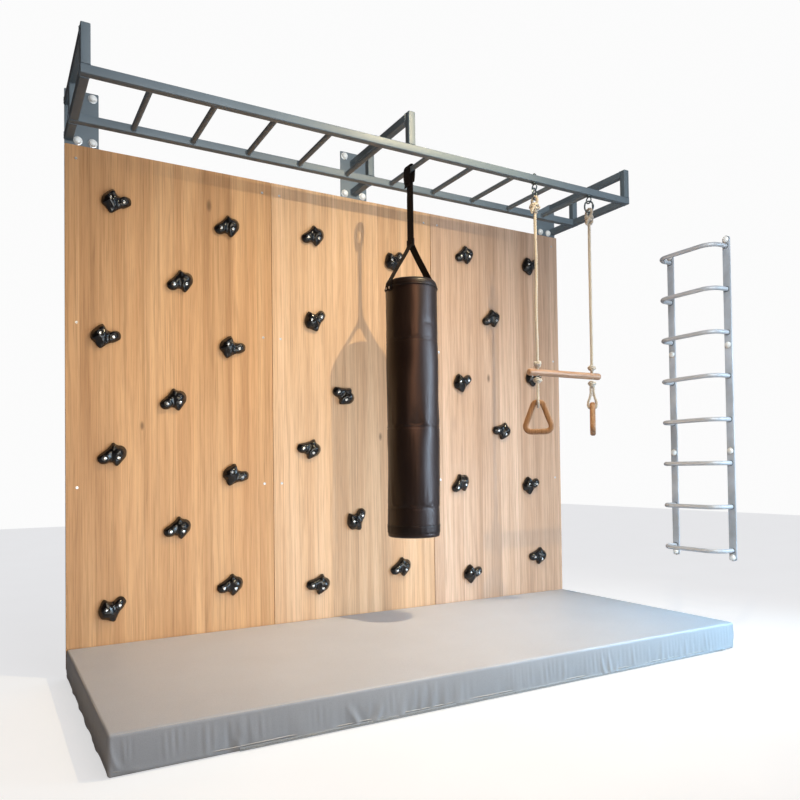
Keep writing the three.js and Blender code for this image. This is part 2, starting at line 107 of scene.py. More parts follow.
class Parts:
    """Collects closed shapes, each a pair of vertices and faces, into one object."""

    def __init__(self):
        self.verts, self.faces, self.mats, self.count = [], [], [], 0

    def add(self, shape, mat=0):
        verts = np.asarray(shape[0], float)
        self.verts.append(verts)
        self.faces += [tuple(int(i) + self.count for i in face) for face in shape[1]]
        self.mats += [mat] * len(shape[1])
        self.count += len(verts)
        return self

    def done(self, name, mats, body=None, sharp=38, slot=None, replaces=()):
        mesh = bpy.data.meshes.new(name)
        mesh.from_pydata([tuple(p) for p in np.concatenate(self.verts)], [], self.faces)
        mesh.polygons.foreach_set("material_index", self.mats)
        for mat in mats:
            mesh.materials.append(mat)
        work = bmesh.new()
        work.from_mesh(mesh)
        bmesh.ops.recalc_face_normals(work, faces=work.faces)
        work.to_mesh(mesh)
        work.free()
        mesh.polygons.foreach_set("use_smooth", [True] * len(mesh.polygons))
        mesh.set_sharp_from_angle(angle=math.radians(sharp))
        mesh.update()
        obj = add_object(name, mesh)
        announce(obj, body, replaces)
        return obj


def add_object(name, data):
    obj = bpy.data.objects.new(name, data)
    bpy.context.scene.collection.objects.link(obj)
    return obj


def grid_faces(rows, cols, close_rows=False):
    """Quads between rings of vertices."""
    faces = []
    for i in range(rows if close_rows else rows - 1):
        here, there = i * cols, (i + 1) % rows * cols
        for j in range(cols):
            k = (j + 1) % cols
            faces.append((here + j, here + k, there + k, there + j))
    return faces


def capped_faces(rows, cols):
    """Quads between rings, and a flat cap on the first and last."""
    last = (rows - 1) * cols
    return grid_faces(rows, cols) + [tuple(range(cols))[::-1], tuple(range(last, last + cols))]


def unit_rows(vectors):
    return vectors / np.linalg.norm(vectors, axis=1)[:, None]


def frames_along(path, closed=False, up=None):
    """Normals and binormals that turn as little as possible along a path."""
    if closed:
        tangent = unit_rows(np.roll(path, -1, 0) - np.roll(path, 1, 0))
    else:
        tangent = unit_rows(np.gradient(path, axis=0))
    if up is None:
        up = [0, 0, 1] if abs(tangent[0][2]) < 0.9 else [1, 0, 0]

    def square_to(vector, along):
        flat = vector - along * (vector @ along)
        return flat / np.linalg.norm(flat)

    normal = np.zeros_like(path)
    normal[0] = square_to(np.array(up, float), tangent[0])
    for i in range(1, len(path)):
        normal[i] = square_to(normal[i - 1], tangent[i])
    if closed:  # spread the leftover turn along the loop
        end = square_to(normal[-1], tangent[0])
        turn = math.atan2(np.cross(end, normal[0]) @ tangent[0], end @ normal[0])
        angle = np.linspace(0, turn, len(path), endpoint=False)[:, None]
        normal = normal * np.cos(angle) + np.cross(tangent, normal) * np.sin(angle)
    return normal, np.cross(tangent, normal)


def sweep(path, section, closed=False, up=None, scale=None):
    """A 2-D section carried along a path; open ends get flat caps."""
    path, section = np.asarray(path, float), np.asarray(section, float)
    normal, binormal = frames_along(path, closed, up)
    scale = np.ones(len(path)) if scale is None else np.asarray(scale)
    offset = normal[:, None] * section[None, :, :1] + binormal[:, None] * section[None, :, 1:2]
    verts = (path[:, None] + offset * scale[:, None, None]).reshape(-1, 3)
    size = len(path), len(section)
    return verts, grid_faces(*size, True) if closed else capped_faces(*size)


def circle(radius, count):
    angle = np.linspace(0, 2 * pi, count, endpoint=False)
    return np.c_[radius * np.cos(angle), radius * np.sin(angle)]


def rounded_rect(width, height, radius, seg=4):
    points = []
    x, y = width / 2 - radius, height / 2 - radius
    for quarter, (side_x, side_y) in enumerate(((1, 1), (-1, 1), (-1, -1), (1, -1))):
        for k in range(seg + 1):
            angle = (quarter + k / seg) * pi / 2
            points.append((side_x * x + radius * math.cos(angle),
                           side_y * y + radius * math.sin(angle)))
    return np.array(points)


def rod_path(start, end, depth, inset):
    """Straight path whose ends round over: points and section scales."""
    start, end = np.array(start, float), np.array(end, float)
    length = np.linalg.norm(end - start)
    angles = [pi / 2 * (k / 4) for k in range(4)]
    near = [depth * (1 - math.cos(angle)) / length for angle in angles]
    scales = [1 - inset * (1 - math.sin(angle)) for angle in angles]
    middle = list(np.linspace(depth / length, 1 - depth / length, 8))
    steps = near + middle + [1 - step for step in near[::-1]]
    points = start + (end - start) * np.array(steps)[:, None]
    return points, np.array(scales + [1] * 8 + scales[::-1])


def turned(shape, axis, at):
    """Points a shape's Z along the given axis and moves it."""
    x, y, z = shape[0].T
    columns = {"z": (x, y, z), "x": (z, x, y), "-x": (-z, x, y),
               "y": (x, z, y), "-y": (x, -z, y)}[axis]
    return np.stack(columns, -1) + np.array(at), shape[1]


def lathe(profile, count=32, axis="z", at=(0, 0, 0)):
    """Solid of revolution; the (radius, height) profile starts and ends on the axis."""
    profile = np.asarray(profile, float)
    inner = profile[1:-1]
    rings = [np.c_[circle(radius, count), np.full(count, z)] for radius, z in inner]
    verts = np.vstack(rings + [[[0, 0, profile[0][1]], [0, 0, profile[-1][1]]]])
    faces = grid_faces(len(inner), count)
    first, last = len(verts) - 2, len(verts) - 1
    ring = (len(inner) - 1) * count
    for j in range(count):
        k = (j + 1) % count
        faces += [(first, k, j), (last, ring + j, ring + k)]
    return turned((verts, faces), axis, at)


def slab(outline, low, high, bevel, seg=3, axis="z", at=(0, 0, 0)):
    """A flat plate between two heights, with rounded rims."""
    outline = np.asarray(outline, float)
    along = np.roll(outline, -1, 0) - np.roll(outline, 1, 0)
    normal = unit_rows(np.c_[along[:, 1], -along[:, 0]])
    quarter = np.linspace(0, pi / 2, seg + 1)
    levels = [(a, low + bevel * (1 - math.cos(a))) for a in quarter]
    levels += [(a, high - bevel * (1 - math.cos(a))) for a in quarter[::-1]]
    count = len(outline)
    rows = [np.c_[outline - normal * bevel * (1 - math.sin(a)), np.full(count, level)]
            for a, level in levels]
    return turned((np.vstack(rows), capped_faces(len(rows), count)), axis, at)


def catmull(points, steps, closed=False):
    """Smooth curve through points."""
    points = np.asarray(points, float)
    count = len(points)
    out = []
    for i in range(count if closed else count - 1):
        here, after = points[i % count], points[(i + 1) % count]
        before = points[(i - 1) % count] if closed or i > 0 else 2 * here - after
        beyond = points[(i + 2) % count] if closed or i < count - 2 else 2 * after - here
        for k in range(steps):
            t = k / steps
            out.append(0.5 * (2 * here + (after - before) * t
                              + (2 * before - 5 * here + 4 * after - beyond) * t * t
                              + (3 * here - before - 3 * after + beyond) * t ** 3))
    if not closed:
        out.append(points[-1])
    return np.array(out)


def resample(points, step, closed=False):
    points = np.asarray(points, float)
    if closed:
        points = np.vstack([points, points[:1]])
    length = np.r_[0, np.cumsum(np.linalg.norm(np.diff(points, axis=0), axis=1))]
    count = max(3, int(round(length[-1] / step)))
    stops = np.linspace(0, length[-1], count + 1)
    out = np.stack([np.interp(stops, length, column) for column in points.T], -1)
    return out[:-1] if closed else out


def spin(points, degrees, at=(0, 0, 0)):
    """Points turned about Z, then moved."""
    turn = np.array(Matrix.Rotation(math.radians(degrees), 3, "Z"))
    return np.asarray(points, float) @ turn.T + np.asarray(at, float)


def spin_shape(shape, degrees, at):
    return spin(shape[0], degrees, at), shape[1]


def in_plane(points, axis, centre):
    """2-D points laid in the plane square to an axis."""
    across, up = {"x": ((0, 1, 0), (0, 0, 1)), "y": ((1, 0, 0), (0, 0, 1)),
                  "z": ((1, 0, 0), (0, 1, 0))}[axis]
    return np.array(centre) + points[:, :1] * np.array(across) + points[:, 1:] * np.array(up)


def hump(value, centre, width):
    return np.exp(-(((value - centre) / width) ** 2))


# ------------------------------------------------------------------ shader helpers
def srgb(*channels):
    """Linear RGBA of an 8-bit sRGB colour."""
    parts = [channel / 255 for channel in channels]
    return [p / 12.92 if p <= 0.04045 else ((p + 0.055) / 1.055) ** 2.4 for p in parts] + [1]


def scaled(colour, factor, lift=0):
    return [min(1, value * factor + lift) for value in colour[:3]] + [1]


class Signal:
    """A node output; arithmetic on it makes Math nodes."""

    def __init__(self, graph, socket):
        self.graph, self.socket = graph, socket

    def __add__(self, other):
        return self.graph.math("ADD", self, other)

    def __sub__(self, other):
        return self.graph.math("SUBTRACT", self, other)

    def __mul__(self, other):
        return self.graph.math("MULTIPLY", self, other)

    def __truediv__(self, other):
        return self.graph.math("DIVIDE", self, other)


class Graph:
    """Builds nodes in a node tree."""

    def __init__(self, tree):
        self.tree = tree

    def put(self, socket, value):
        if isinstance(value, Signal):
            self.tree.links.new(value.socket, socket)
        else:
            socket.default_value = value

    def node(self, kind, inputs, out=0, **settings):
        node = self.tree.nodes.new("ShaderNode" + kind)
        for key, value in settings.items():
            setattr(node, key, value)
        for key, value in inputs.items():
            if value is not None:
                self.put(node.inputs[key], value)
        return Signal(self, node.outputs[out])

    def math(self, operation, first, second=0.0, clamp=False):
        return self.node("Math", {0: first, 1: second}, operation=operation, use_clamp=clamp)

    def mix(self, factor, first, second, mode="MIX"):
        return self.node("Mix", {0: factor, 6: first, 7: second}, 2,
                         data_type="RGBA", blend_type=mode)

    def split(self, vector):
        outputs = self.node("SeparateXYZ", {0: vector}).socket.node.outputs
        return [Signal(self, socket) for socket in outputs]


class Shader(Graph):
    """A material around one Principled node, textured in object space."""

    def __init__(self, name):
        self.material = bpy.data.materials.new(name)
        self.material.use_nodes = True
        super().__init__(self.material.node_tree)
        self.tree.nodes.clear()
        output = self.tree.nodes.new("ShaderNodeOutputMaterial")
        self.surface = self.tree.nodes.new("ShaderNodeBsdfPrincipled")
        self.tree.links.new(self.surface.outputs[0], output.inputs[0])
        self.coords = self.node("TexCoord", {}, "Object")

    def mapped(self, scale, move=(0, 0, 0), source=None):
        return self.node("Mapping", {"Scale": scale, "Location": move,
                                     "Vector": source or self.coords})

    def noise(self, scale, detail=4, rough=0.5, vector=None, distort=0.0, out=0):
        return self.node("TexNoise", {"Scale": scale, "Detail": detail, "Roughness": rough,
                                      "Distortion": distort,
                                      "Vector": vector or self.coords}, out)

    def voronoi(self, scale, vector=None, out="Distance"):
        return self.node("TexVoronoi", {"Scale": scale, "Vector": vector or self.coords}, out)

    def wave(self, scale, axis, vector, distort=0, detail=2, detail_scale=1.0):
        return self.node("TexWave", {"Scale": scale, "Distortion": distort, "Detail": detail,
                                     "Detail Scale": detail_scale, "Vector": vector},
                         "Fac", bands_direction=axis)

    def ramp(self, factor, *stops):
        """Colour ramp through (position, grey or RGBA) stops."""
        out = self.node("ValToRGB", {0: factor})
        elements = out.socket.node.color_ramp.elements
        while len(elements) < len(stops):
            elements.new(0.5)
        for k, (position, colour) in enumerate(stops):
            elements[k].position = position
            elements[k].color = (colour if hasattr(colour, "__len__")
                                 else (colour, colour, colour, 1))
        return out

    def vary(self, factor, colour, low, high):
        """The colour, between its low and high multiple."""
        return self.ramp(factor, (0.3, scaled(colour, low)), (0.7, scaled(colour, high)))

    def shade(self, amount, colour, tone):
        """The colour, multiplied by a tone to the given amount."""
        return self.mix(amount, colour, self.mix(1.0, colour, tone, "MULTIPLY"))

    def bump(self, height, strength, dist, normal=None):
        return self.node("Bump", {"Strength": strength, "Distance": dist, "Height": height,
                                  "Normal": normal})

    def finish(self, **inputs):
        for key, value in inputs.items():
            self.put(self.surface.inputs[key.replace("_", " ")], value)
        return self.material


# ------------------------------------------------------------------ materials
def oak(name, seed, dark, mid, light, knots):
    """Oak laminate with upright grain: veneer strips, pores and knots.

    Each knot is (x, z, half width, half height).
    """
    sh = Shader(name)
    dark, mid, light = srgb(*dark), srgb(*mid), srgb(*light)
    shift = (seed * 3.7, seed * 1.3, seed * 5.1)
    x, y, z = sh.split(sh.coords)
    knot = push = None
    for knot_x, knot_z, width, height in knots:
        across = (x - knot_x) / width
        along = (z - knot_z) / height
        far = sh.math("SQRT", across * across + along * along)
        core = sh.math("SUBTRACT", 1.0, far * 0.8, clamp=True)
        bend = across * 0.004 * sh.math("POWER", 2.718, far * far * -0.25)
        knot = core if knot is None else sh.math("MAXIMUM", knot, core)
        push = bend if push is None else push + bend
    sway = sh.noise(scale=1.1, detail=2, vector=sh.mapped((1, 1, 0.30), shift)) * 0.010
    bent_x = x + sway - push
    # strips 1 / 8.7 m wide, each with its own tone and stretch of grain
    cell = (x + 0.0011 * seed) * 8.7
    strip = sh.math("FLOOR", cell)
    tone = sh.node("TexWhiteNoise", {"W": strip + (seed * 7.31 + 0.5)}, "Value",
                   noise_dimensions="1D")
    edge = sh.math("ABSOLUTE", sh.math("FRACT", cell) - 0.5)
    joint = sh.ramp(edge, (0.4915, 0.0), (0.497, 1.0))
    joint = joint * sh.ramp(tone, (0.35, 0.15), (0.6, 0.8))
    source = sh.node("CombineXYZ", {0: bent_x + tone * 3.0, 1: y, 2: z + tone * 9.0})

    def grain(scale, detail, rough, stretch, distort=0.0):
        return sh.noise(scale, detail, rough, sh.mapped((1, 1, stretch), shift, source), distort)

    broad = grain(scale=13, detail=4, rough=0.55, stretch=0.045, distort=0.3)
    medium = grain(scale=64, detail=5, rough=0.6, stretch=0.012, distort=0.2)
    fine = grain(scale=230, detail=5, rough=0.62, stretch=0.010, distort=0.15)
    pores = grain(scale=520, detail=3, rough=0.6, stretch=0.013)
    figure = sh.wave(scale=8.0, axis="X", vector=sh.mapped((1, 1, 0.10), shift, source),
                     distort=11.0, detail=3.0, detail_scale=1.4)
    deep = scaled(dark, 0.62)
    col = sh.ramp(broad, (0.30, dark), (0.50, mid), (0.72, light))
    col = sh.mix(sh.ramp(medium, (0.33, 1.0), (0.47, 0.0)) * 0.36, col, deep)
    col = sh.mix(sh.ramp(medium, (0.55, 0.0), (0.68, 1.0)) * 0.34, col, light)
    col = sh.mix(sh.ramp(fine, (0.36, 1.0), (0.47, 0.0)) * 0.44, col, deep)
    col = sh.mix(sh.ramp(figure, (0.0, 1.0), (0.28, 0.0)) * 0.16, col, deep)
    pore = sh.ramp(pores, (0.37, 0.62), (0.47, 1.0))
    col = sh.shade(0.45, col, pore)
    strip_tone = sh.ramp(tone, (0.0, (0.86, 0.83, 0.80, 1)), (0.5, (0.97, 0.96, 0.95, 1)),
                         (1.0, (1.05, 1.05, 1.05, 1)))
    col = sh.mix(1.0, col, strip_tone, "MULTIPLY")
    col = sh.mix(joint * 0.75, col, scaled(dark, 0.35))
    knot_mask = sh.ramp(knot, (0.0, 0.0), (0.25, 0.35), (0.6, 0.8), (1.0, 0.95))
    col = sh.mix(knot_mask, col, scaled(dark, 0.40))
    # the cut edges of the board show its layers
    normal_y = sh.split(sh.node("NewGeometry", {}, "Normal"))[1]
    face = sh.math("GREATER_THAN", sh.math("ABSOLUTE", normal_y), 0.7)
    ply = sh.ramp(sh.wave(scale=1.0, axis="Y", vector=sh.mapped((1, 135, 1))),
                  (0.3, srgb(150, 106, 66)), (0.6, srgb(204, 164, 116)))
    ply = sh.mix(0.5, ply, sh.ramp(sh.noise(scale=160, detail=3), (0.3, srgb(150, 108, 70)),
                                   (0.7, srgb(212, 174, 126))))
    col = sh.mix(face, ply, col)
    height = fine * 0.6 + pore * 0.5 - joint * 1.2
    return sh.finish(Base_Color=col, Roughness=sh.ramp(fine, (0.3, 0.60), (0.7, 0.47)),
                     Normal=sh.bump(height, strength=0.2, dist=0.0006),
                     Specular_IOR_Level=0.35)


def turned_wood(name, stretch, *colours):
    """Varnished wood whose grain runs where the stretch is small."""
    sh = Shader(name)
    grain = sh.noise(scale=190, detail=6, rough=0.6, vector=sh.mapped(stretch), distort=0.5)
    pores = sh.noise(scale=700, detail=3, rough=0.6, vector=sh.mapped(stretch))
    col = sh.ramp(grain, *zip((0.3, 0.5, 0.7), [srgb(*colour) for colour in colours]))
    col = sh.shade(0.35, col, sh.ramp(pores, (0.38, 0.55), (0.5, 1.0)))
    return sh.finish(Base_Color=col, Roughness=sh.ramp(grain, (0.3, 0.5), (0.7, 0.36)),
                     Normal=sh.bump(grain, strength=0.18, dist=0.0004),
                     Coat_Weight=0.25, Coat_Roughness=0.3)


def paint(name, colour, rough, var=0.05):
    """Powder coat: orange-peel bump, slight cloudiness, rubbed edges."""
    sh = Shader(name)
    cloud = sh.noise(scale=5, rough=0.55)
    peel = sh.noise(scale=950, detail=3, rough=0.55)
    colour = srgb(*colour)
    col = sh.ramp(cloud, (0.3, scaled(colour, 1 - 2 * var)), (0.5, colour),
                  (0.7, scaled(colour, 1 + 2 * var)))
    worn = sh.ramp(sh.node("NewGeometry", {}, "Pointiness"), (0.53, 0.0), (0.60, 1.0))
    worn = worn * sh.ramp(sh.noise(scale=45, detail=5, rough=0.7), (0.45, 0.0), (0.65, 0.7))
    col = sh.mix(worn, col, scaled(colour, 1.45, lift=0.02))
    return sh.finish(Base_Color=col, Roughness=sh.noise(scale=30) * 0.14 + (rough - 0.07),
                     Normal=sh.bump(peel, strength=0.10, dist=0.0004))


def steel(name, colour, rough, metal=0.9, brush=(1, 1, 1), spangle=0.0):
    """Metal; brush stretches its texture, spangle adds zinc flakes."""
    sh = Shader(name)
    noise = sh.noise(scale=240, rough=0.6, vector=sh.mapped(brush))
    col = sh.vary(noise, srgb(*colour), 0.82, 1.1)
    if spangle:
        flakes = sh.voronoi(scale=95, out="Color")
        col = sh.shade(spangle, col, sh.ramp(flakes, (0, 0.65), (1, 1.25)))
    return sh.finish(Base_Color=col, Metallic=metal,
                     Roughness=sh.ramp(noise, (0.25, rough - 0.08), (0.75, rough + 0.12)),
                     Normal=sh.bump(noise, strength=0.08, dist=0.0003))


def plastic(name, colour, rough, bump, scale=420, coat=0.0):
    sh = Shader(name)
    grit = sh.noise(scale, detail=3)
    cloud = sh.noise(scale=28, detail=3)
    return sh.finish(Base_Color=sh.vary(cloud, srgb(*colour), 0.86, 1.12),
                     Roughness=cloud * 0.18 + (rough - 0.09),
                     Normal=sh.bump(grit, bump, dist=0.0004),
                     Coat_Weight=coat, Coat_Roughness=0.18)


def vinyl(name, colour, rough, grain, strength, var=0.05, soft=0.15, coat=0.0, spec=0.5):
    """Leather-grained vinyl: cells with creases between them, and soft undulation."""
    sh = Shader(name)
    warp = sh.noise(scale=60, detail=3, out=1)
    vector = sh.node("VectorMath", {0: warp, 1: (0.003, 0.003, 0.003), 2: sh.coords},
                     operation="MULTIPLY_ADD")
    cells = sh.voronoi(grain, vector)
    crease = sh.ramp(cells, (0.0, 1.0), (0.75, 0.0))
    fine = sh.noise(scale=1500, detail=2, rough=0.6)
    slow = sh.noise(scale=7)
    col = sh.vary(slow, srgb(*colour), 1 - var, 1 + var)
    # painted shade: the colour darkens in the sunken creases between the grain cells and is
    # lighter on their raised middles
    col = sh.shade(0.5, col, sh.ramp(cells, (0.0, 1.06), (0.8, 0.8)))
    roughness = crease * -0.08 + (slow * 0.12 + rough)
    height = crease + fine * 0.35
    waves = sh.bump(slow, soft, dist=0.004)
    return sh.finish(Base_Color=col, Roughness=roughness,
                     Normal=sh.bump(height, strength, dist=0.0004, normal=waves),
                     Coat_Weight=coat, Coat_Roughness=0.35, Specular_IOR_Level=spec)


def weave(name, colour, pitch):
    """Fabric of crossing threads."""
    sh = Shader(name)
    threads = [sh.wave(scale=1.0, axis=axis, vector=sh.mapped((1 / pitch / 3.1416,) * 3))
               for axis in "ZY"]
    height = sh.math("MAXIMUM", *threads)
    fuzz = sh.noise(scale=900, detail=3, rough=0.7)
    colour = srgb(*colour)
    # painted shade and highlight: the colour darkens in the gaps between the threads and
    # lightens on their tops
    col = sh.mix(height * 0.8, scaled(colour, 0.45), scaled(colour, 1.25))
    col = sh.shade(0.4, col, sh.ramp(fuzz, (0.3, 0.6), (0.7, 1.3)))
    return sh.finish(Base_Color=col, Roughness=0.85,
                     Normal=sh.bump(height + fuzz * 0.4, strength=0.5, dist=0.0006),
                     Sheen_Weight=0.03, Sheen_Roughness=0.5, Specular_IOR_Level=0.2)


def rope_fibre(name, colour):
    sh = Shader(name)
    fibre = sh.noise(scale=1300, rough=0.7)
    patches = sh.noise(scale=160, rough=0.6)
    colour = srgb(*colour)
    col = sh.ramp(fibre, (0.3, scaled(colour, 0.68)), (0.6, colour))
    col = sh.mix(0.35, col, sh.ramp(patches, (0.3, srgb(198, 182, 162)),
                                    (0.7, srgb(240, 235, 228))))
    return sh.finish(Base_Color=col, Roughness=0.88,
                     Normal=sh.bump(fibre, strength=0.5, dist=0.0008), Sheen_Weight=0.4)


OAK = [
    oak("oak_left", seed=1, dark=(180, 134, 92), mid=(200, 155, 111), light=(214, 171, 127),
        knots=[(-0.665, 1.832, 0.010, 0.024), (-0.93, 0.93, 0.007, 0.017)]),
    oak("oak_middle", seed=2, dark=(194, 154, 118), mid=(212, 174, 138), light=(225, 190, 156),
        knots=[(0.115, 0.90, 0.008, 0.018)]),
    oak("oak_right", seed=3, dark=(180, 146, 120), mid=(199, 166, 141), light=(213, 182, 158),
        knots=[(0.735, 1.20, 0.009, 0.020)])]
SLATE = paint("slate_powder_coat", (101, 113, 120), rough=0.46)
BEAD = paint("weld_bead_paint", (84, 94, 101), rough=0.5)
RAIL = paint("ladder_rail_coat", (184, 193, 203), rough=0.46, var=0.14)
RUNG = steel("ladder_rung_steel", (206, 210, 215), rough=0.42, metal=0.25, brush=(1, 0.1, 1))
ZINC = steel("zinc_plate", (204, 206, 208), rough=0.30, spangle=0.3)
HOOKS = steel("dark_zinc_hook", (120, 136, 146), rough=0.30, spangle=0.2)
BRIGHT = steel("bright_bolt", (226, 227, 228), rough=0.20, metal=0.95)
CAP = plastic("white_cap_plastic", (240, 240, 236), rough=0.34, bump=0.05)
HOLD = plastic("hold_black_plastic", (9, 8, 9), rough=0.24, bump=0.16, scale=260, coat=0.35)
MAT_VINYL = vinyl("mat_vinyl", (196, 198, 201), rough=0.40, grain=480, strength=0.14,
                  var=0.03, soft=0.10)
PIPING = vinyl("mat_piping_vinyl", (208, 205, 200), rough=0.42, grain=480, strength=0.14)
ZIP_TAPE = weave("zip_tape", (200, 204, 206), pitch=0.0012)
BAG_VINYL = vinyl("bag_vinyl", (27, 18, 14), rough=0.36, grain=430, strength=0.24, var=0.10,
                  soft=0.30, coat=0.06, spec=0.42)
BAG_TRIM = vinyl("bag_trim_vinyl", (20, 15, 14), rough=0.40, grain=600, strength=0.2,
                 var=0.08, soft=0.2, spec=0.35)
THREAD = weave("bag_thread", (60, 56, 54), pitch=0.0006)
WEBBING = weave("black_webbing", (15, 14, 15), pitch=0.0022)
ROPE = rope_fibre("cream_rope", (228, 218, 204))
BEECH = turned_wood("beech_bar", (0.05, 1, 1), (176, 130, 98), (204, 160, 128),
                    (220, 182, 152))
RING_WOOD = turned_wood("ring_wood", (1, 1, 0.05), (150, 104, 66), (180, 132, 92),
                        (198, 152, 112))

# ------------------------------------------------------------------ panels and screws
PANELS = ("panel_left", "panel_middle", "panel_right")
# (radius, height above the face)
SCREW = [(0, -0.006), (0.0018, -0.006), (0.0018, -0.0004), (0.0046, 0.0002),
         (0.0052, 0.0006), (0.0050, 0.0011), (0.0034, 0.0015), (0.0016, 0.0009), (0, 0.0005)]
SCREW_INSET = 0.038
SCREW_DROP = 0.050  # top screw below the panel's top
SCREW_PITCH = 0.6147

screws = Parts()
for name, wood in zip(PANELS, OAK):
    panel = frame["nodes"][name]
    panel.data.materials.clear()
    panel.data.materials.append(wood)
    bevel = panel.modifiers.new("edge", "BEVEL")
    bevel.width = 0.0012
    bevel.segments = 3
    bevel.limit_method = "ANGLE"
    bevel.angle_limit = math.radians(40)
    low, high = box(name)
    for x in (low[0] + SCREW_INSET, high[0] - SCREW_INSET):
        for i in range(4):
            z = PANEL_TOP - SCREW_DROP - i * SCREW_PITCH
            screws.add(lathe(SCREW, 20, "-y", (x, FACE_Y, z)))
screws.done("panel_screws", [ZINC], "root", slot="zinc")

# ------------------------------------------------------------------ climbing holds
# Two shapes, in millimetres seen from the front. Outlines are (x, z) round the hold;
# lumps are (x, z, half width, half height, rise).
HOLD_SHAPES = {
    "A": {
        "outline": [
            (52, 4), (50, 17), (45, 25), (36, 29), (26, 28), (13, 21), (2, 21), (-7, 26),
            (-14, 34), (-21, 39), (-30, 34), (-40, 22), (-48, 10), (-53, -1), (-53, -16),
            (-48, -29), (-38, -35), (-31, -39), (-22, -47), (-12, -53), (-5, -51),
            (2, -43), (12, -31), (22, -22), (33, -17), (46, -5)],
        "centre": (-6, -4),
        "lumps": [(-28, -6, 20, 24, 9), (34, 10, 15, 14, 4), (6, 2, 9, 26, -7),
                  (-22, 26, 9, 8, 4), (-12, -36, 12, 10, -3)]},
    "B": {
        "outline": [
            (56, 15), (56, 27), (50, 39), (39, 46), (30, 47), (21, 51), (13, 58), (5, 56),
            (-1, 48), (-8, 40), (-25, 27), (-41, 16), (-48, 8), (-49, -2), (-46, -11),
            (-39, -18), (-29, -21), (-18, -20), (-7, -16), (5, -18), (11, -26), (19, -31),
            (28, -25), (40, -12), (52, 2)],
        "centre": (4, 11),
        "lumps": [(28, 20, 22, 18, 9), (-26, 2, 18, 15, 3), (0, 4, 9, 20, -6),
                  (12, 46, 9, 8, 3), (20, -16, 10, 10, -2)]}}
# shape, x and z in millimetres, turn in degrees
HOLDS = [
    ("A", -1020, 1787, -13), ("B", -597, 1743, 4), ("B", -787, 1493, 8),
    ("A", -1060, 1268, -14), ("A", -573, 1261, -18), ("B", -816, 1020, 8),
    ("B", -1044, 805, 3), ("A", -563, 736, -24), ("B", -805, 517, 0),
    ("A", -1041, 245, 17), ("B", -597, 276, -5), ("B", -216, 1762, 3),
    ("A", 197, 1724, 20), ("A", -205, 1410, 19), ("B", -84, 1078, -43),
    ("B", -249, 835, -24), ("A", -14, 533, 30), ("B", -211, 247, -18),
    ("B", 206, 286, 0), ("A", 214, 1262, -10), ("B", 210, 770, 6),
    ("B", 589, 1788, 4), ("A", 1010, 1805, 7), ("B", 748, 1488, 6),
    ("A", 573, 1176, 8), ("A", 1024, 1224, 3), ("B", 799, 929, -22),
    ("B", 549, 664, 16), ("A", 992, 665, 0), ("B", 1021, 284, -16), ("A", 618, 241, -5)]
HOLD_HEIGHT = 31  # mm, before the lumps
SHOULDER = 10  # mm, height of the side wall
BOLT_SPOTS = (-24, 24)  # mm, along the hold's own x
BOLT_SEAT = 24  # mm, floor of the counterbores
HOLD_BOLT = [(0, 0.0), (0.0068, 0.0), (0.0070, 0.0006), (0.0064, 0.0012), (0.0062, 0.0026),
             (0.0054, 0.0042), (0.0036, 0.0050), (0.0030, 0.0047), (0.0028, 0.0024),
             (0, 0.0024)]


def radius_towards(outline, angles):
    """Distance from the origin to an outline in each direction."""
    x, y = catmull(outline, 24, True).T
    around = np.arctan2(y, x) % (2 * pi)
    order = np.argsort(around)
    around, reach = around[order], np.hypot(x, y)[order]
    return np.interp(angles, np.r_[around - 2 * pi, around, around + 2 * pi], np.tile(reach, 3))


def hold_shape(kind, seed):
    """A hold in metres, with its back at z = 0."""
    shape = HOLD_SHAPES[kind]
    mid_x, mid_y = shape["centre"]
    sides = 120
    angles = np.linspace(0, 2 * pi, sides, endpoint=False)
    edge = radius_towards(np.array(shape["outline"]) - shape["centre"], angles)
    phase = np.random.default_rng(seed).uniform(0, 2 * pi, 6)
    # (scale, height): up the slightly bulging side, then over the shoulder to the middle
    profile = [(0.965 + 0.035 * math.sin(q / 5 * pi / 2), q / 5 * SHOULDER) for q in range(5)]
    for q in range(29):
        t = q / 28
        profile.append((max(0.02, 1 - t ** 1.15),
                        SHOULDER + (HOLD_HEIGHT - SHOULDER) * (1 - (1 - t) ** 2.6)))
    rows = []
    for scale, height in profile:
        x = mid_x + edge * scale * np.cos(angles)
        y = mid_y + edge * scale * np.sin(angles)
        weight = min(1, max(0, (height - 8) / 14))
        z = np.full(sides, float(height))
        for at_x, at_y, wide, tall, rise in shape["lumps"]:
            z += weight * rise * hump(x, at_x, wide) * hump(y, at_y, tall)
        z += weight * (0.7 * np.sin(x * 0.16 + phase[0]) * np.sin(y * 0.19 + phase[1])
                       + 0.4 * np.sin(x * 0.37 + phase[2]) * np.cos(y * 0.31 + phase[3]))
        for spot in BOLT_SPOTS:
            away = np.hypot(x - spot, y)
            t = np.clip((away - 7.6) / 3.4, 0, 1)
            t = t * t * (3 - 2 * t)
            sunk = np.minimum(z, BOLT_SEAT + (z - BOLT_SEAT) * t)
            z = np.where(away < 11.0, sunk, z)
        rows.append(np.c_[x, y, z])
    verts = np.vstack(rows + [[[mid_x, mid_y, rows[-1][:, 2].mean()]]])
    last = (len(rows) - 1) * sides
    faces = grid_faces(len(rows), sides)
    faces += [(last + j, last + (j + 1) % sides, len(verts) - 1) for j in range(sides)]
    faces.append(tuple(range(sides))[::-1])
    return verts / 1000, faces


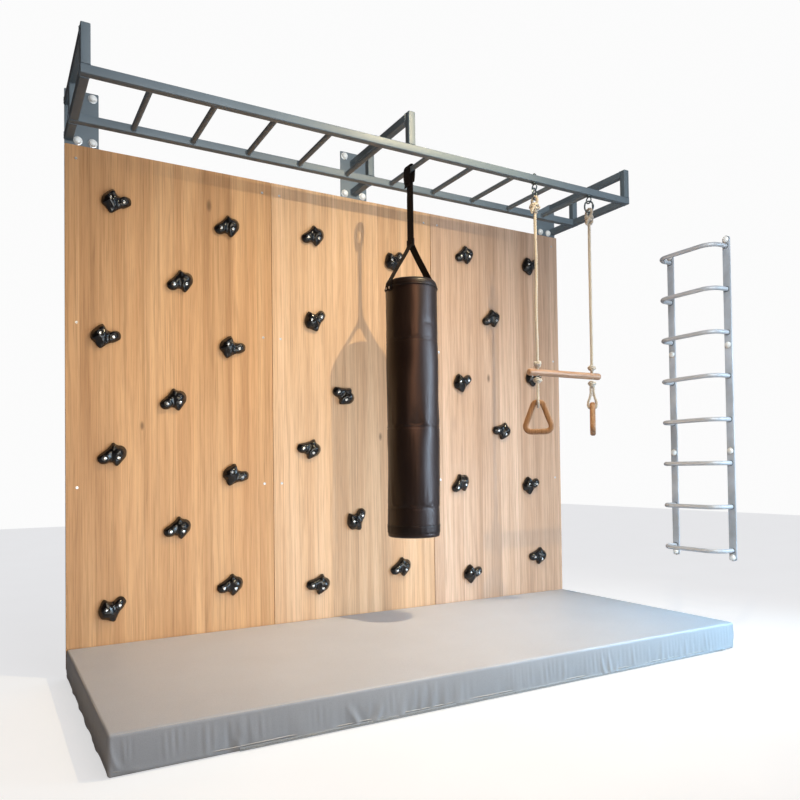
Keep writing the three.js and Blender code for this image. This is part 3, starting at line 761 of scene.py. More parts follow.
hold_bolts = Parts()
for i, (kind, hold_x, hold_z, turn) in enumerate(HOLDS):
    node = "hold_%02d" % (i + 1)
    x, z = hold_x / 1000, hold_z / 1000
    shape = spin_shape(hold_shape(kind, 100 + i), turn, (0, 0, 0))
    Parts().add(turned(shape, "-y", (x, FACE_Y - 0.0003, z))).done(
        "climbing_" + node, [HOLD], "root", sharp=60, slot="hold_plastic", replaces=(node,))
    for spot in BOLT_SPOTS:
        side, rise, _ = spin((spot / 1000, 0, 0), turn)
        hold_bolts.add(lathe(HOLD_BOLT, 20, "-y", (x + side, FACE_Y - 0.0243, z + rise)))
hold_bolts.done("hold_bolts", [BRIGHT], "root", slot="zinc")

# ------------------------------------------------------------------ steel frame
SQUARE = rounded_rect(TUBE, TUBE, 0.0032)
SQUARE_BEAD = resample(rounded_rect(TUBE + 0.0005, TUBE + 0.0005, 0.0036), 0.0035, True)


def tube(parts, start, end, up=(0, 0, 1), soften=0.0012):
    path, scale = rod_path(start, end, soften, inset=0.06)
    parts.add(sweep(path, SQUARE, up=up, scale=scale))


def bead_ring(parts, centre, axis, radius, width=0.0022, count=28):
    """A rippled weld bead round a round tube."""
    ripple = 1 + 0.22 * np.sin(np.linspace(0, 2 * pi, count, endpoint=False) * 14)
    path = in_plane(circle(radius, count), axis, centre)
    parts.add(sweep(path, circle(width, 8), closed=True, scale=ripple), 1)


def bead_square(parts, centre, axis, width=0.0020):
    """A rippled weld bead round a square tube."""
    ripple = 1 + 0.2 * np.sin(np.arange(len(SQUARE_BEAD)) * 2.1)
    path = in_plane(SQUARE_BEAD, axis, centre)
    parts.add(sweep(path, circle(width, 6), closed=True, scale=ripple), 1)


back_rail = Parts()
tube(back_rail, (-WALL_HALF, BACK_Y, RAIL_Z), (WALL_HALF, BACK_Y, RAIL_Z))
back_rail.done("monkey_bar_back_rail", [SLATE], "root", sharp=50, slot="frame_paint")

bars = Parts()
FRONT_IN, BACK_IN = FRONT_Y + HALF_TUBE, BACK_Y - HALF_TUBE  # inner faces of the rails
tube(bars, (-WALL_HALF, FRONT_Y, RAIL_Z), (WALL_HALF, FRONT_Y, RAIL_Z))
for side in (-1, 1):
    x = side * (WALL_HALF - HALF_TUBE)
    tube(bars, (x, FRONT_IN - 0.0005, RAIL_Z), (x, BACK_IN + 0.0005, RAIL_Z))
    for y in (FRONT_IN, BACK_IN):
        bead_square(bars, (x, y, RAIL_Z), "y")
for i in range(10):
    x = -0.984 + 0.2165 * i
    path, scale = rod_path((x, FRONT_IN - 0.001, RAIL_Z), (x, BACK_IN + 0.001, RAIL_Z),
                           depth=0.0008, inset=0.04)
    bars.add(sweep(path, circle(RUNG_R, 28), scale=scale))
    for y in (FRONT_IN, BACK_IN):
        bead_ring(bars, (x, y, RAIL_Z), "y", 0.0108)
bars.done("monkey_bars", [SLATE, BEAD], "root", sharp=50, slot="frame_paint",
          replaces=("monkey_bar_frame",))

WASHER_T = 0.0016
# profiles as (radius, height)
WASHER = [(0, 0), (0.0165, 0), (0.0170, 0.0005), (0.0168, 0.0013), (0.0160, WASHER_T),
          (0, WASHER_T)]
DOME = np.array([
    (0, 0.0), (0.0150, 0.0), (0.0153, 0.0006), (0.0150, 0.0014), (0.0140, 0.0018),
    (0.0138, 0.0030), (0.0128, 0.0060), (0.0104, 0.0088), (0.0066, 0.0106),
    (0.0026, 0.0112), (0, 0.0113)]) + (0, WASHER_T)


def capped_bolt(parts, axis, at):
    """A washer under a domed cap."""
    parts.add(lathe(WASHER, 28, axis, at), 1)
    parts.add(lathe(DOME, 28, axis, at), 0)


PLATE = 0.004  # thickness of the wall plates
ARM_TOP = box("bracket_right")[1][2]
ARM_Z = ARM_TOP - HALF_TUBE
BOLT_INSETS = np.array((0.0465, 0.0985))  # from the plate's outer edge
BOLT_ROWS = (1.9995, 2.170)
ARM_X = WALL_HALF - HALF_TUBE

caps = Parts()
for name, x in (("bracket_left", -ARM_X), ("bracket_middle", 0), ("bracket_right", ARM_X)):
    low, high = box(name)
    wide, _, tall = high - low
    right, top = wide / 2, tall / 2
    front = high[1] - PLATE
    outline = rounded_rect(wide, tall, 0.004, 5)
    columns, bolt_rows = low[0] + BOLT_INSETS, BOLT_ROWS
    if name == "bracket_middle":
        columns = (-0.0445, 0.0445)
    elif name == "bracket_right":  # its upper left corner is cut off
        outline = [(-right, -top), (right, -top), (right, top), (right - 0.035, top),
                   (-right, top - 0.050)]
        columns, bolt_rows = high[0] - BOLT_INSETS, BOLT_ROWS[:1]
    bracket = Parts()
    bracket.add(slab(outline, 0, PLATE, 0.0008, axis="-y",
                     at=((low[0] + high[0]) / 2, high[1], (low[2] + high[2]) / 2)))
    above_rail = RAIL_Z + HALF_TUBE
    arm_under, behind = ARM_Z - HALF_TUBE, BACK_Y + HALF_TUBE
    tube(bracket, (x, FRONT_IN - 0.0008, ARM_Z), (x, front + 0.0006, ARM_Z))
    tube(bracket, (x, FRONT_Y, above_rail + 0.0003), (x, FRONT_Y, ARM_TOP), up=(0, 1, 0),
         soften=0.003)
    tube(bracket, (x, BACK_Y, above_rail + 0.0003), (x, BACK_Y, arm_under + 0.001),
         up=(0, 1, 0))
    tube(bracket, (x, behind + 0.0003, RAIL_Z), (x, front + 0.0006, RAIL_Z))
    bead_square(bracket, (x, BACK_Y, arm_under), "z")
    bead_square(bracket, (x, FRONT_IN, ARM_Z), "y")
    bead_square(bracket, (x, BACK_Y, above_rail + 0.0012), "z")
    bead_square(bracket, (x, FRONT_Y, above_rail + 0.0006), "z", width=0.0011)
    bead_square(bracket, (x, front, ARM_Z), "y")
    bead_square(bracket, (x, front, RAIL_Z), "y")
    bead_square(bracket, (x, behind + 0.0012, RAIL_Z), "y")
    bracket.done("wall_" + name, [SLATE, BEAD], "root", sharp=50, slot="frame_paint",
                 replaces=(name,))
    for bolt_x in columns:
        for z in bolt_rows:
            capped_bolt(caps, "-y", (bolt_x, front, z))
caps.done("bracket_bolts_and_caps", [CAP, ZINC], "root", slot="zinc")

# ------------------------------------------------------------------ wall ladder
# Two upright flat rails side by side along Y; the rungs reach out towards -X.
LADDER_LOW, LADDER_HIGH = box("wall_ladder")
RAIL_T = 0.006
RAIL_W = 0.038
RAIL_X = LADDER_HIGH[0] - RAIL_T  # face that the rungs are welded to
RAIL_YS = (LADDER_LOW[1] + RAIL_W / 2, LADDER_HIGH[1] - RAIL_W / 2)
STEP_R = 0.010
STEP_X = LADDER_LOW[0] + STEP_R
CORNER = 0.062

rails, steps, ladder_caps = Parts(), Parts(), Parts()
for y in RAIL_YS:
    rails.add(slab(rounded_rect(RAIL_W, LADDER_HIGH[2] - LADDER_LOW[2], 0.009, 6),
                   0, RAIL_T, 0.0012, axis="-x",
                   at=(LADDER_HIGH[0], y, (LADDER_LOW[2] + LADDER_HIGH[2]) / 2)))
for i in range(8):
    z = 0.360 + i * 0.1995
    leg = [(RAIL_X + 0.0006, RAIL_YS[0], z), (STEP_X + CORNER, RAIL_YS[0], z)]
    for k in range(1, 12):
        angle = k / 12 * pi / 2
        leg.append((STEP_X + CORNER - CORNER * math.sin(angle),
                    RAIL_YS[0] + CORNER - CORNER * math.cos(angle), z))
    grip = [(STEP_X, y, z) for y in np.linspace(RAIL_YS[0] + CORNER, RAIL_YS[1] - CORNER, 14)]
    back = [(x, sum(RAIL_YS) - y, z) for x, y, _ in leg[::-1]]
    steps.add(sweep(resample(leg + grip + back, 0.006), circle(STEP_R, 24), up=(0, 0, 1)))
    for y in RAIL_YS:
        bead_ring(rails, (RAIL_X - 0.0004, y, z), "x", 0.0107, width=0.0020, count=32)
rails.done("ladder_rails", [RAIL, BEAD], "root", sharp=50, slot="ladder_paint",
           replaces=("wall_ladder",))
steps.done("ladder_rungs", [RUNG], "root", sharp=60, slot="ladder_paint")
for y in RAIL_YS:
    for z in (0.328, 0.814, 1.300, 1.786):
        capped_bolt(ladder_caps, "-x", (RAIL_X, y, z))
ladder_caps.done("ladder_bolts_and_caps", [CAP, ZINC], "root", slot="zinc")


# ------------------------------------------------------------------ cloth
def run_cloth(verts, faces, pinned, rest, frames, bend, pressure=0.0, stiff=25.0):
    """Settles a cloth whose resting size (rest) is larger than the space it is held in."""
    mesh = bpy.data.meshes.new("cloth")
    mesh.from_pydata([tuple(v) for v in verts], [], faces)
    obj = add_object("cloth", mesh)
    group = obj.vertex_groups.new(name="pin")
    group.add([int(i) for i in np.nonzero(pinned)[0]], 1.0, "REPLACE")
    obj.shape_key_add(name="Basis")
    key = obj.shape_key_add(name="Rest")
    key.data.foreach_set("co", rest.ravel())
    key.value = 0.0
    cloth = obj.modifiers.new("cloth", "CLOTH")
    settings = cloth.settings
    settings.quality = 7
    settings.mass = 0.3
    settings.tension_stiffness = settings.compression_stiffness = stiff
    settings.shear_stiffness = stiff / 3
    settings.bending_stiffness = bend
    settings.air_damping = 2.0
    settings.vertex_group_mass = "pin"
    settings.rest_shape_key = key
    settings.effector_weights.gravity = 1.0
    if pressure:
        settings.use_pressure = True
        settings.uniform_pressure_force = pressure
    cloth.collision_settings.use_collision = False
    cloth.collision_settings.use_self_collision = False
    cloth.point_cache.frame_start, cloth.point_cache.frame_end = 1, frames
    scene = bpy.context.scene
    frame_before = scene.frame_current
    for number in range(1, frames + 1):
        scene.frame_set(number)
    settled = obj.evaluated_get(bpy.context.evaluated_depsgraph_get())
    settled_mesh = settled.to_mesh()
    out = np.empty(len(settled_mesh.vertices) * 3)
    settled_mesh.vertices.foreach_get("co", out)
    settled.to_mesh_clear()
    bpy.data.objects.remove(obj)
    scene.frame_set(frame_before)
    out = out.reshape(-1, 3)
    return np.where(np.isfinite(out), out, verts)


def bilinear(grid, row, col):
    """Value of a grid at row, col in 0..1 along its two axes."""
    row = np.clip(row, 0, 1) * (grid.shape[0] - 1)
    col = np.clip(col, 0, 1) * (grid.shape[1] - 1)
    i = np.minimum(row.astype(int), grid.shape[0] - 2)
    j = np.minimum(col.astype(int), grid.shape[1] - 2)
    down, over = row - i, col - j
    return (grid[i, j] * (1 - down) * (1 - over) + grid[i + 1, j] * down * (1 - over)
            + grid[i, j + 1] * (1 - down) * over + grid[i + 1, j + 1] * down * over)


def buckled_wall(length, height, cols, spots, seed):
    """Outward offset of a skirt of cover, sewn along its edges, with slack at the spots.

    Each spot is (place along the skirt, extra stretch, width).
    """
    rows = 22
    rng = np.random.default_rng(seed)
    along = np.linspace(0, length, cols + 1)
    x, z = np.meshgrid(along, np.linspace(0, height, rows + 1), indexing="ij")
    stretch = np.full(cols + 1, 0.003)
    for place, extra, width in spots:
        stretch += extra * hump(along, place, width)
    slack = np.r_[0, np.cumsum((stretch[1:] + stretch[:-1]) / 2 * np.diff(along))]
    noise = np.zeros_like(x)
    for _ in range(60):
        wave_x, wave_z = rng.uniform(20, 160), rng.uniform(5, 40)
        noise += np.sin(wave_x * x + wave_z * z + rng.uniform(0, 2 * pi))
    start = 0.00012 * noise * np.sin(pi * z / height)
    verts = np.c_[x.ravel(), start.ravel(), z.ravel()]
    rest = np.c_[(x + slack[:, None] * (1.15 - 0.6 * z / height)).ravel(),
                 np.zeros(x.size), (z * 1.003).ravel()]
    wide = rows + 1
    faces = [(i * wide + j, (i + 1) * wide + j, (i + 1) * wide + j + 1, i * wide + j + 1)
             for i in range(cols) for j in range(rows)]
    pins = np.zeros(x.shape)
    pins[:, 0] = pins[:, -1] = pins[0, :] = pins[-1, :] = 1
    out = run_cloth(verts, faces, pins.ravel(), rest, frames=24, bend=0.35)
    offset = -out[:, 1].reshape(x.shape)
    offset = np.where(offset < 0, offset * 0.4, offset)  # the foam behind stops it
    offset *= 0.0032 / max(np.percentile(np.abs(offset), 99.3), 0.0008)
    return np.clip(offset, -0.0022, 0.0065)


# ------------------------------------------------------------------ landing mat
MAT_LOW, MAT_HIGH = box("mat_cover")
MAT_MID = (MAT_LOW + MAT_HIGH) / 2
# place, extra stretch and width of the slack along the front and the ends
FRONT_SLACK = [
    (0.68, 0.06, 0.020), (0.745, 0.05, 0.018), (0.83, 0.07, 0.03), (0.90, 0.06, 0.03),
    (1.02, 0.04, 0.05), (1.67, 0.08, 0.018), (1.72, 0.08, 0.018), (1.90, 0.05, 0.03),
    (1.97, 0.05, 0.02), (2.04, 0.06, 0.03), (2.12, 0.05, 0.02), (2.19, 0.06, 0.03),
    (2.27, 0.05, 0.03), (0.33, 0.03, 0.02)]
END_SLACK = [(0.22, 0.04, 0.03), (0.55, 0.05, 0.04), (0.83, 0.04, 0.03)]
# x, lean, half width, height, reach up the face: slack that gathers at the lower seam
PUCKERS = [
    (-0.512, -0.55, 0.010, 0.0042, 0.075), (-0.486, 0.35, 0.008, -0.0022, 0.060),
    (-0.462, 0.45, 0.008, 0.0036, 0.055), (-0.865, -0.35, 0.009, 0.0024, 0.045),
    (-0.372, 0.10, 0.013, 0.0022, 0.085), (-0.338, 0.12, 0.010, 0.0026, 0.090),
    (-0.306, 0.10, 0.010, 0.0024, 0.100), (-0.262, 0.05, 0.012, 0.0024, 0.095),
    (-0.215, 0.00, 0.012, 0.0020, 0.090), (-0.165, 0.05, 0.013, 0.0016, 0.080),
    (-0.02, 0.10, 0.014, 0.0012, 0.060), (0.12, -0.10, 0.014, 0.0010, 0.060),
    (0.472, -0.35, 0.008, 0.0034, 0.070), (0.500, -0.20, 0.007, 0.0038, 0.085),
    (0.522, 0.35, 0.006, 0.0026, 0.045), (0.30, 0.05, 0.012, 0.0012, 0.060)]
PUCKERS += [(0.700 + 0.0345 * k, (-0.12, 0.10, 0.02)[k % 3], (0.007, 0.006, 0.009)[k % 3],
             (0.0022, 0.0015, 0.0026, 0.0018)[k % 4], (0.085, 0.060, 0.095)[k % 3])
            for k in range(11)]


def box_grid(size):
    """Mesh of a box on a fine grid, standing on z = 0."""
    nx, ny, nz = 480, 56, 20
    work = bmesh.new()
    made = {}

    def corner(key):
        if key not in made:
            i, j, k = key
            made[key] = work.verts.new(((i / nx - 0.5) * size[0], (j / ny - 0.5) * size[1],
                                        k / nz * size[2]))
        return made[key]

    def quad(*keys):
        work.faces.new([corner(key) for key in keys])

    for i in range(nx):
        for j in range(ny):
            quad((i, j, nz), (i + 1, j, nz), (i + 1, j + 1, nz), (i, j + 1, nz))
            quad((i, j, 0), (i, j + 1, 0), (i + 1, j + 1, 0), (i + 1, j, 0))
    for i in range(nx):
        for k in range(nz):
            quad((i, 0, k), (i + 1, 0, k), (i + 1, 0, k + 1), (i, 0, k + 1))
            quad((i, ny, k), (i, ny, k + 1), (i + 1, ny, k + 1), (i + 1, ny, k))
    for j in range(ny):
        for k in range(nz):
            quad((0, j, k), (0, j, k + 1), (0, j + 1, k + 1), (0, j + 1, k))
            quad((nx, j, k), (nx, j + 1, k), (nx, j + 1, k + 1), (nx, j, k + 1))
    mesh = bpy.data.meshes.new("landing_mat")
    work.to_mesh(mesh)
    work.free()
    return mesh


def mat_skin():
    """The cover: a rounded box, crowned on top, with slack near its seams."""
    size = MAT_HIGH - MAT_LOW
    wide, deep, thick = size
    front_folds = buckled_wall(wide, thick, 480, FRONT_SLACK, seed=5)
    end_folds = buckled_wall(deep, thick, 200, END_SLACK, seed=6)
    mesh = box_grid(size)
    points = np.empty(len(mesh.vertices) * 3)
    mesh.vertices.foreach_get("co", points)
    # pull the grid towards the edges, so that the rounding there is fine
    middle = np.array([0, 0, thick / 2])
    part = (points.reshape(-1, 3) - middle) / (size / 2)
    part = np.sign(part) * (1 - (1 - np.abs(part)) ** 1.25)
    pulled = part * (size / 2) + middle - middle
    # round the edges
    radius = 0.009
    inner = size / 2 - radius
    core = np.clip(pulled, -inner, inner)
    away = pulled - core
    dist = np.linalg.norm(away, axis=1)
    unit = away / np.where(dist > 0, dist, 1)[:, None]
    x, y, z = (core + unit * np.minimum(dist, radius)[:, None]).T
    z = z + thick / 2
    normal = np.where(dist[:, None] > 1e-9, unit, 0)
    # crown: the top sinks towards its rim
    near_end = np.minimum(wide / 2 - np.abs(x), 0.25) / 0.25
    near_side = np.minimum(deep / 2 - np.abs(y), 0.20) / 0.20
    rim_x, rim_y = np.clip(near_end, 0, 1), np.clip(near_side, 0, 1)
    top = np.clip((z - thick * 0.75) / (thick * 0.25), 0, 1)
    sink = -0.0035 * top * (1 - np.sin(rim_x * pi / 2) * np.sin(rim_y * pi / 2))
    # folds and fine gathers on the front and the ends
    rng = np.random.default_rng(11)
    front = np.clip((-y - (deep / 2 - 0.03)) / 0.03, 0, 1)
    flank = np.clip((np.abs(x) - (wide / 2 - 0.03)) / 0.03, 0, 1)
    rip = front * bilinear(front_folds, x / wide + 0.5, z / thick)
    for _ in range(10):
        place = rng.uniform(-wide / 2, wide / 2)
        width = rng.uniform(0.006, 0.022)
        lean = rng.uniform(-0.25, 0.25)
        height = rng.uniform(0.1, 0.8) * thick
        reach = rng.uniform(0.25, 0.6) * thick
        rise = rng.uniform(0.0004, 0.0010) * rng.choice([-1, 1], p=[0.65, 0.35])
        rip += (front * rise * hump(x - lean * (z - height), place, width)
                * hump(z, height, reach))
    for place, lean, width, rise, reach in PUCKERS:
        across = (x - place - lean * z) / width
        rip += (front * rise * (hump(across, 0, 1) - 0.45 * hump(across, 2.0, 1.1))
                * np.clip(1 - z / reach, 0, 1) ** 0.8)
    rip += flank * bilinear(end_folds, y / deep + 0.5, z / thick)
    for _ in range(8):
        place = rng.uniform(-deep / 2, deep / 2)
        width = rng.uniform(0.008, 0.024)
        rise = rng.uniform(0.0006, 0.0018) * rng.choice([-1, 1], p=[0.65, 0.35])
        height = rng.uniform(0.1, 0.8) * thick
        rip += flank * rise * hump(y, place, width) * hump(z, height, 0.45 * thick)
    waves = (0.0012 * np.sin(x * 5.1 + 0.6) * np.sin(y * 6.3 + 1.1)
             + 0.0007 * np.sin(x * 13 + 2) * np.cos(y * 9))
    bulge = 0.0025 * np.sin(np.clip(z / thick, 0, 1) * pi) - 0.0015
    skin = np.c_[
        x + normal[:, 0] * (bulge + np.where(flank > 0, rip, 0)) + MAT_MID[0],
        y + normal[:, 1] * (bulge + np.where(front > 0, rip, 0)) + MAT_MID[1],
        np.maximum(z + sink + top * waves * rim_x * rim_y, 0.0002) + MAT_LOW[2]]
    mesh.vertices.foreach_set("co", skin.ravel())
    mesh.materials.append(MAT_VINYL)
    mesh.polygons.foreach_set("use_smooth", [True] * len(mesh.polygons))
    mesh.update()
    return add_object("landing_mat", mesh)


announce(mat_skin(), "root", ("mat_cover", "mat_foam"))

piping = Parts()
# height, inset from the cover, radius
for z, inset, radius in ((MAT_HIGH[2] - 0.0068, 0.0046, 0.0019), (0.0152, 0.0006, 0.0015)):
    wide, deep, _ = MAT_HIGH - MAT_LOW - 2 * inset
    outline = rounded_rect(wide, deep, 0.012, 10)
    path = resample(in_plane(outline, "z", (MAT_MID[0], MAT_MID[1], z)), 0.012, True)
    path[:, 2] += 0.0004 * np.sin(path[:, 0] * 21 + path[:, 1] * 17)
    piping.add(sweep(path, circle(radius, 10), closed=True, up=(0, 0, 1)))
piping.done("mat_piping", [PIPING], "root", slot="mat_vinyl")

# zip low in the front face: tape, a row of teeth and a slider with its tab
ZIP_X = (-0.870, 1.140)
ZIP_Y = MAT_LOW[1] - 0.0012
ZIP_Z = 0.0068
TAPE_T = 0.0012
TOOTH_PITCH = 0.0042
zip_parts = Parts()
zip_parts.add(slab(rounded_rect(ZIP_X[1] - ZIP_X[0], 0.0100, 0.002, 3), 0, TAPE_T, 0.0004,
                   axis="-y", at=(sum(ZIP_X) / 2, ZIP_Y, ZIP_Z)), 0)
tooth = rounded_rect(0.0026, 0.0034, 0.0007, 2)
for k in range(int((ZIP_X[1] - ZIP_X[0] - 0.006) / TOOTH_PITCH)):
    at = (ZIP_X[0] + 0.004 + k * TOOTH_PITCH, ZIP_Y - TAPE_T,
          ZIP_Z + (0.0006 if k % 2 else -0.0006))
    zip_parts.add(slab(tooth, 0, 0.0011, 0.0003, 1, "-y", at), 1)
zip_parts.add(slab(rounded_rect(0.011, 0.0080, 0.003), 0, 0.0036, 0.001, axis="-y",
                   at=(1.118, ZIP_Y - TAPE_T, ZIP_Z)), 1)
zip_parts.add(slab(rounded_rect(0.020, 0.0055, 0.0025), 0, 0.0014, 0.0004, axis="-y",
                   at=(1.104, ZIP_Y - 0.0048, 0.0064)), 1)
zip_parts.done("mat_zip", [ZIP_TAPE, ZINC], "root", slot="mat_vinyl")

# ------------------------------------------------------------------ punch bag
BAG_LOW, BAG_HIGH = box("bag_cover")
BAG_X, BAG_Y = (BAG_LOW[0] + BAG_HIGH[0]) / 2, (BAG_LOW[1] + BAG_HIGH[1]) / 2
BAG_R = (BAG_HIGH[0] - BAG_LOW[0]) / 2
BAG_BOTTOM, BAG_TOP = BAG_LOW[2], BAG_HIGH[2]
SEAMS = [BAG_TOP - 0.033, BAG_BOTTOM + 0.812, BAG_BOTTOM + 0.452, BAG_BOTTOM + 0.122]
# shallow dents: angle, height, half angle, half height, depth
DENTS = [(-1.9, 0.93, 0.35, 0.05, 0.0028), (-0.7, 0.62, 0.3, 0.07, 0.0022),
         (-2.6, 1.18, 0.4, 0.06, 0.002), (0.8, 1.0, 0.5, 0.1, 0.0025),
         (2.2, 0.75, 0.45, 0.08, 0.0025), (-1.4, 1.35, 0.25, 0.012, 0.0018)]


def settle_bag():
    """Radial sag of the cover, which is a little longer than its filling.

    Held at its seams, it creases between them.
    """
    cols, rows = 150, 210
    heights = np.linspace(BAG_BOTTOM, BAG_TOP, rows)
    around, z = np.meshgrid(np.linspace(0, 2 * pi, cols, endpoint=False), heights,
                            indexing="ij")
    start = BAG_R * 0.97
    rng = np.random.default_rng(3)
    noise = np.zeros_like(around)
    for _ in range(50):
        noise += np.sin(rng.integers(1, 9) * around + rng.uniform(10, 90) * z
                        + rng.uniform(0, 2 * pi))

    def tube_points(radius, z):
        return np.c_[(radius * np.cos(around)).ravel(), (radius * np.sin(around)).ravel(),
                     z.ravel()]

    verts = tube_points(start + 0.00008 * noise, z)
    rest = tube_points(start * 1.003, BAG_BOTTOM + (z - BAG_BOTTOM) * 1.012)
    faces = []
    for i in range(cols):
        here, there = i * rows, (i + 1) % cols * rows
        faces += [(here + j, there + j, there + j + 1, here + j + 1) for j in range(rows - 1)]
    pins = np.zeros(around.shape)
    for seam in [BAG_BOTTOM + 0.01, BAG_TOP - 0.01] + SEAMS:
        pins[:, np.argmin(np.abs(heights - seam))] = 1
    pins[:, 0] = pins[:, -1] = 1
    out = run_cloth(verts, faces, pins.ravel(), rest, frames=22, bend=1.2, pressure=0.6,
                    stiff=30)
    sag = np.hypot(out[:, 0], out[:, 1]).reshape(around.shape) - start
    sag = np.where(sag < 0, sag * 0.5, sag)
    sag = np.clip(sag - np.median(sag), -0.0025, 0.0035)
    return np.vstack([sag, sag[:1]])


BAG_SAG = settle_bag()


def bag_radius(angle, z):
    """Radius of the filled bag: fill widens it slightly downwards, seams pinch it."""
    t = (z - BAG_BOTTOM) / (BAG_TOP - BAG_BOTTOM)
    radius = (BAG_R * (0.970 + 0.020 * np.sin((1 - t) * 2.2))
              + bilinear(BAG_SAG, (angle % (2 * pi)) / (2 * pi), t))
    radius += (0.0010 * np.sin(3 * angle + 7 * t) + 0.0009 * np.sin(5 * angle - 11 * t + 1)
               + 0.0006 * np.sin(2 * angle + 23 * t))
    for seam in SEAMS[1:]:
        radius -= 0.0014 * hump(z, seam, 0.003) + 0.0005 * hump(z, seam, 0.02)
    for at_angle, at_z, wide, tall, depth in DENTS:
        away = (angle - at_angle + pi) % (2 * pi) - pi
        radius -= depth * hump(away, 0, wide) * hump(z, at_z, tall)
    return radius


def around_bag(angle, radius, z):
    return np.c_[BAG_X + radius * np.cos(angle), BAG_Y + radius * np.sin(angle),
                 np.full(len(angle), z)]


def bag_shape():
    sides = 144
    angle = np.linspace(0, 2 * pi, sides, endpoint=False)
    heights = np.linspace(BAG_BOTTOM + 0.012, BAG_TOP - 0.019, 232)
    foot, head = heights[0], heights[-1]
    rows = []
    for q in range(1, 9):  # slightly domed base
        t = q / 8
        z = BAG_BOTTOM + 0.0005 + 0.0015 * t ** 2 + 0.0006 * np.sin(4 * angle) * t
        rows.append(around_bag(angle, (BAG_R - 0.014) * t, z))
    radius = bag_radius(angle, foot)
    for q in range(1, 8):  # round lower edge
        turn = q / 8 * pi / 2
        rows.append(around_bag(angle, radius - 0.010 + 0.010 * math.sin(turn),
                               foot - 0.010 * math.cos(turn)))
    for z in heights:
        rows.append(around_bag(angle, bag_radius(angle, z), z))
    # turned-in rim and the sunken top over the filling
    radius = bag_radius(angle, head)
    for q in range(1, 9):
        turn = q / 8 * pi / 2
        rows.append(around_bag(angle, radius - 0.015 * (1 - math.cos(turn)),
                               head + 0.0175 * math.sin(turn)))
    rim = head + 0.0175
    for inset, rise in ((0.0172, 0.0002), (0.0196, -0.0012), (0.0212, -0.0045),
                        (0.0220, -0.0100)):
        rows.append(around_bag(angle, radius - inset, rim + rise))
    for q in range(1, 12):
        t = 1 - q / 12
        z = rim - 0.012 + 0.004 * (1 - t ** 2) + 0.0012 * np.sin(3 * angle + 5 * t) * t
        rows.append(around_bag(angle, (radius - 0.0225) * t, z))
    verts = np.vstack(rows + [[[BAG_X, BAG_Y, BAG_BOTTOM + 0.0005],
                               [BAG_X, BAG_Y, rim - 0.008]]])
    first, last = len(verts) - 2, len(verts) - 1
    ring = (len(rows) - 1) * sides
    faces = grid_faces(len(rows), sides)
    faces += [(first, (j + 1) % sides, j) for j in range(sides)]
    faces += [(last, ring + j, ring + (j + 1) % sides) for j in range(sides)]
    return verts, faces


def bag_band(parts, low, high, grow, rounding=0.0012):
    """A strip sewn round the bag."""
    angle = np.linspace(0, 2 * pi, 128, endpoint=False)
    profile = [(low + (high - low) * q / 6, grow if 0 < q < 6 else grow - rounding)
               for q in range(7)]
    profile += [(z, -0.001) for z, _ in profile[::-1]]
    rings = [around_bag(angle, bag_radius(angle, z) + out, z) for z, out in profile]
    parts.add((np.vstack(rings), grid_faces(len(rings), 128, True)))


def stitch_ring(parts, z, out):
    """Stitches round the bag, lifted off its surface by out."""
    pitch, length, radius = 0.0075, 0.0048, 0.0005
    girth = 2 * pi * BAG_R
    count = int(girth / pitch)
    for i in range(count):
        angle = np.linspace(i / count * 2 * pi, (i / count + length / girth) * 2 * pi, 5)
        lift = out + 0.0004 * np.sin(np.linspace(0, pi, 5))
        path = around_bag(angle, bag_radius(angle, z) + lift, z)
        parts.add(sweep(path, circle(radius, 5), up=(0, 0, 1), scale=[0.5, 1, 1, 1, 0.5]), 1)


Parts().add(bag_shape()).done("punch_bag", [BAG_VINYL], "bag", sharp=70, slot="bag_vinyl",
                              replaces=("bag_cover", "bag_filling"))

trim = Parts()
bag_band(trim, BAG_TOP - 0.036, BAG_TOP - 0.0195, 0.0014, rounding=0.0009)
bag_band(trim, BAG_BOTTOM + 0.018, BAG_BOTTOM + 0.052, 0.0014)
angle = np.linspace(0, 2 * pi, 160, endpoint=False)
for z, radius, out in ((SEAMS[0], 0.0027, 0.0018), (BAG_BOTTOM + 0.052, 0.0016, 0.0010)):
    path = around_bag(angle, bag_radius(angle, z) + out, z)
    trim.add(sweep(path, circle(radius, 10), closed=True, up=(0, 0, 1)))
for z, out in ((BAG_TOP - 0.0225, 0.0017), (SEAMS[0] - 0.007, 0.0003),
               (BAG_BOTTOM + 0.046, 0.0017), (BAG_BOTTOM + 0.023, 0.0017)):
    stitch_ring(trim, z, out)
for seam in SEAMS[1:]:
    for rise in (-0.006, 0.006):
        stitch_ring(trim, seam + rise, 0.0002)
# upright back seam with piping
heights = np.linspace(BAG_BOTTOM + 0.022, BAG_TOP - 0.004, 160)
angle = np.full(160, math.radians(62))
trim.add(sweep(around_bag(angle, bag_radius(angle, heights) + 0.0008, heights),
               circle(0.0018, 8)))
trim.done("punch_bag_trim", [BAG_TRIM, THREAD], "bag", sharp=60, slot="bag_vinyl")

# ------------------------------------------------------------------ bag straps
WEB_W = 0.046  # webbing width, along Y
WEB_T = 0.0022
LAYER_X = WEB_T / 2 + 0.0003  # middle of each of two layers, off the strap's centre plane
PIVOT_X, PIVOT_Y, PIVOT_Z = BAG_PIVOT


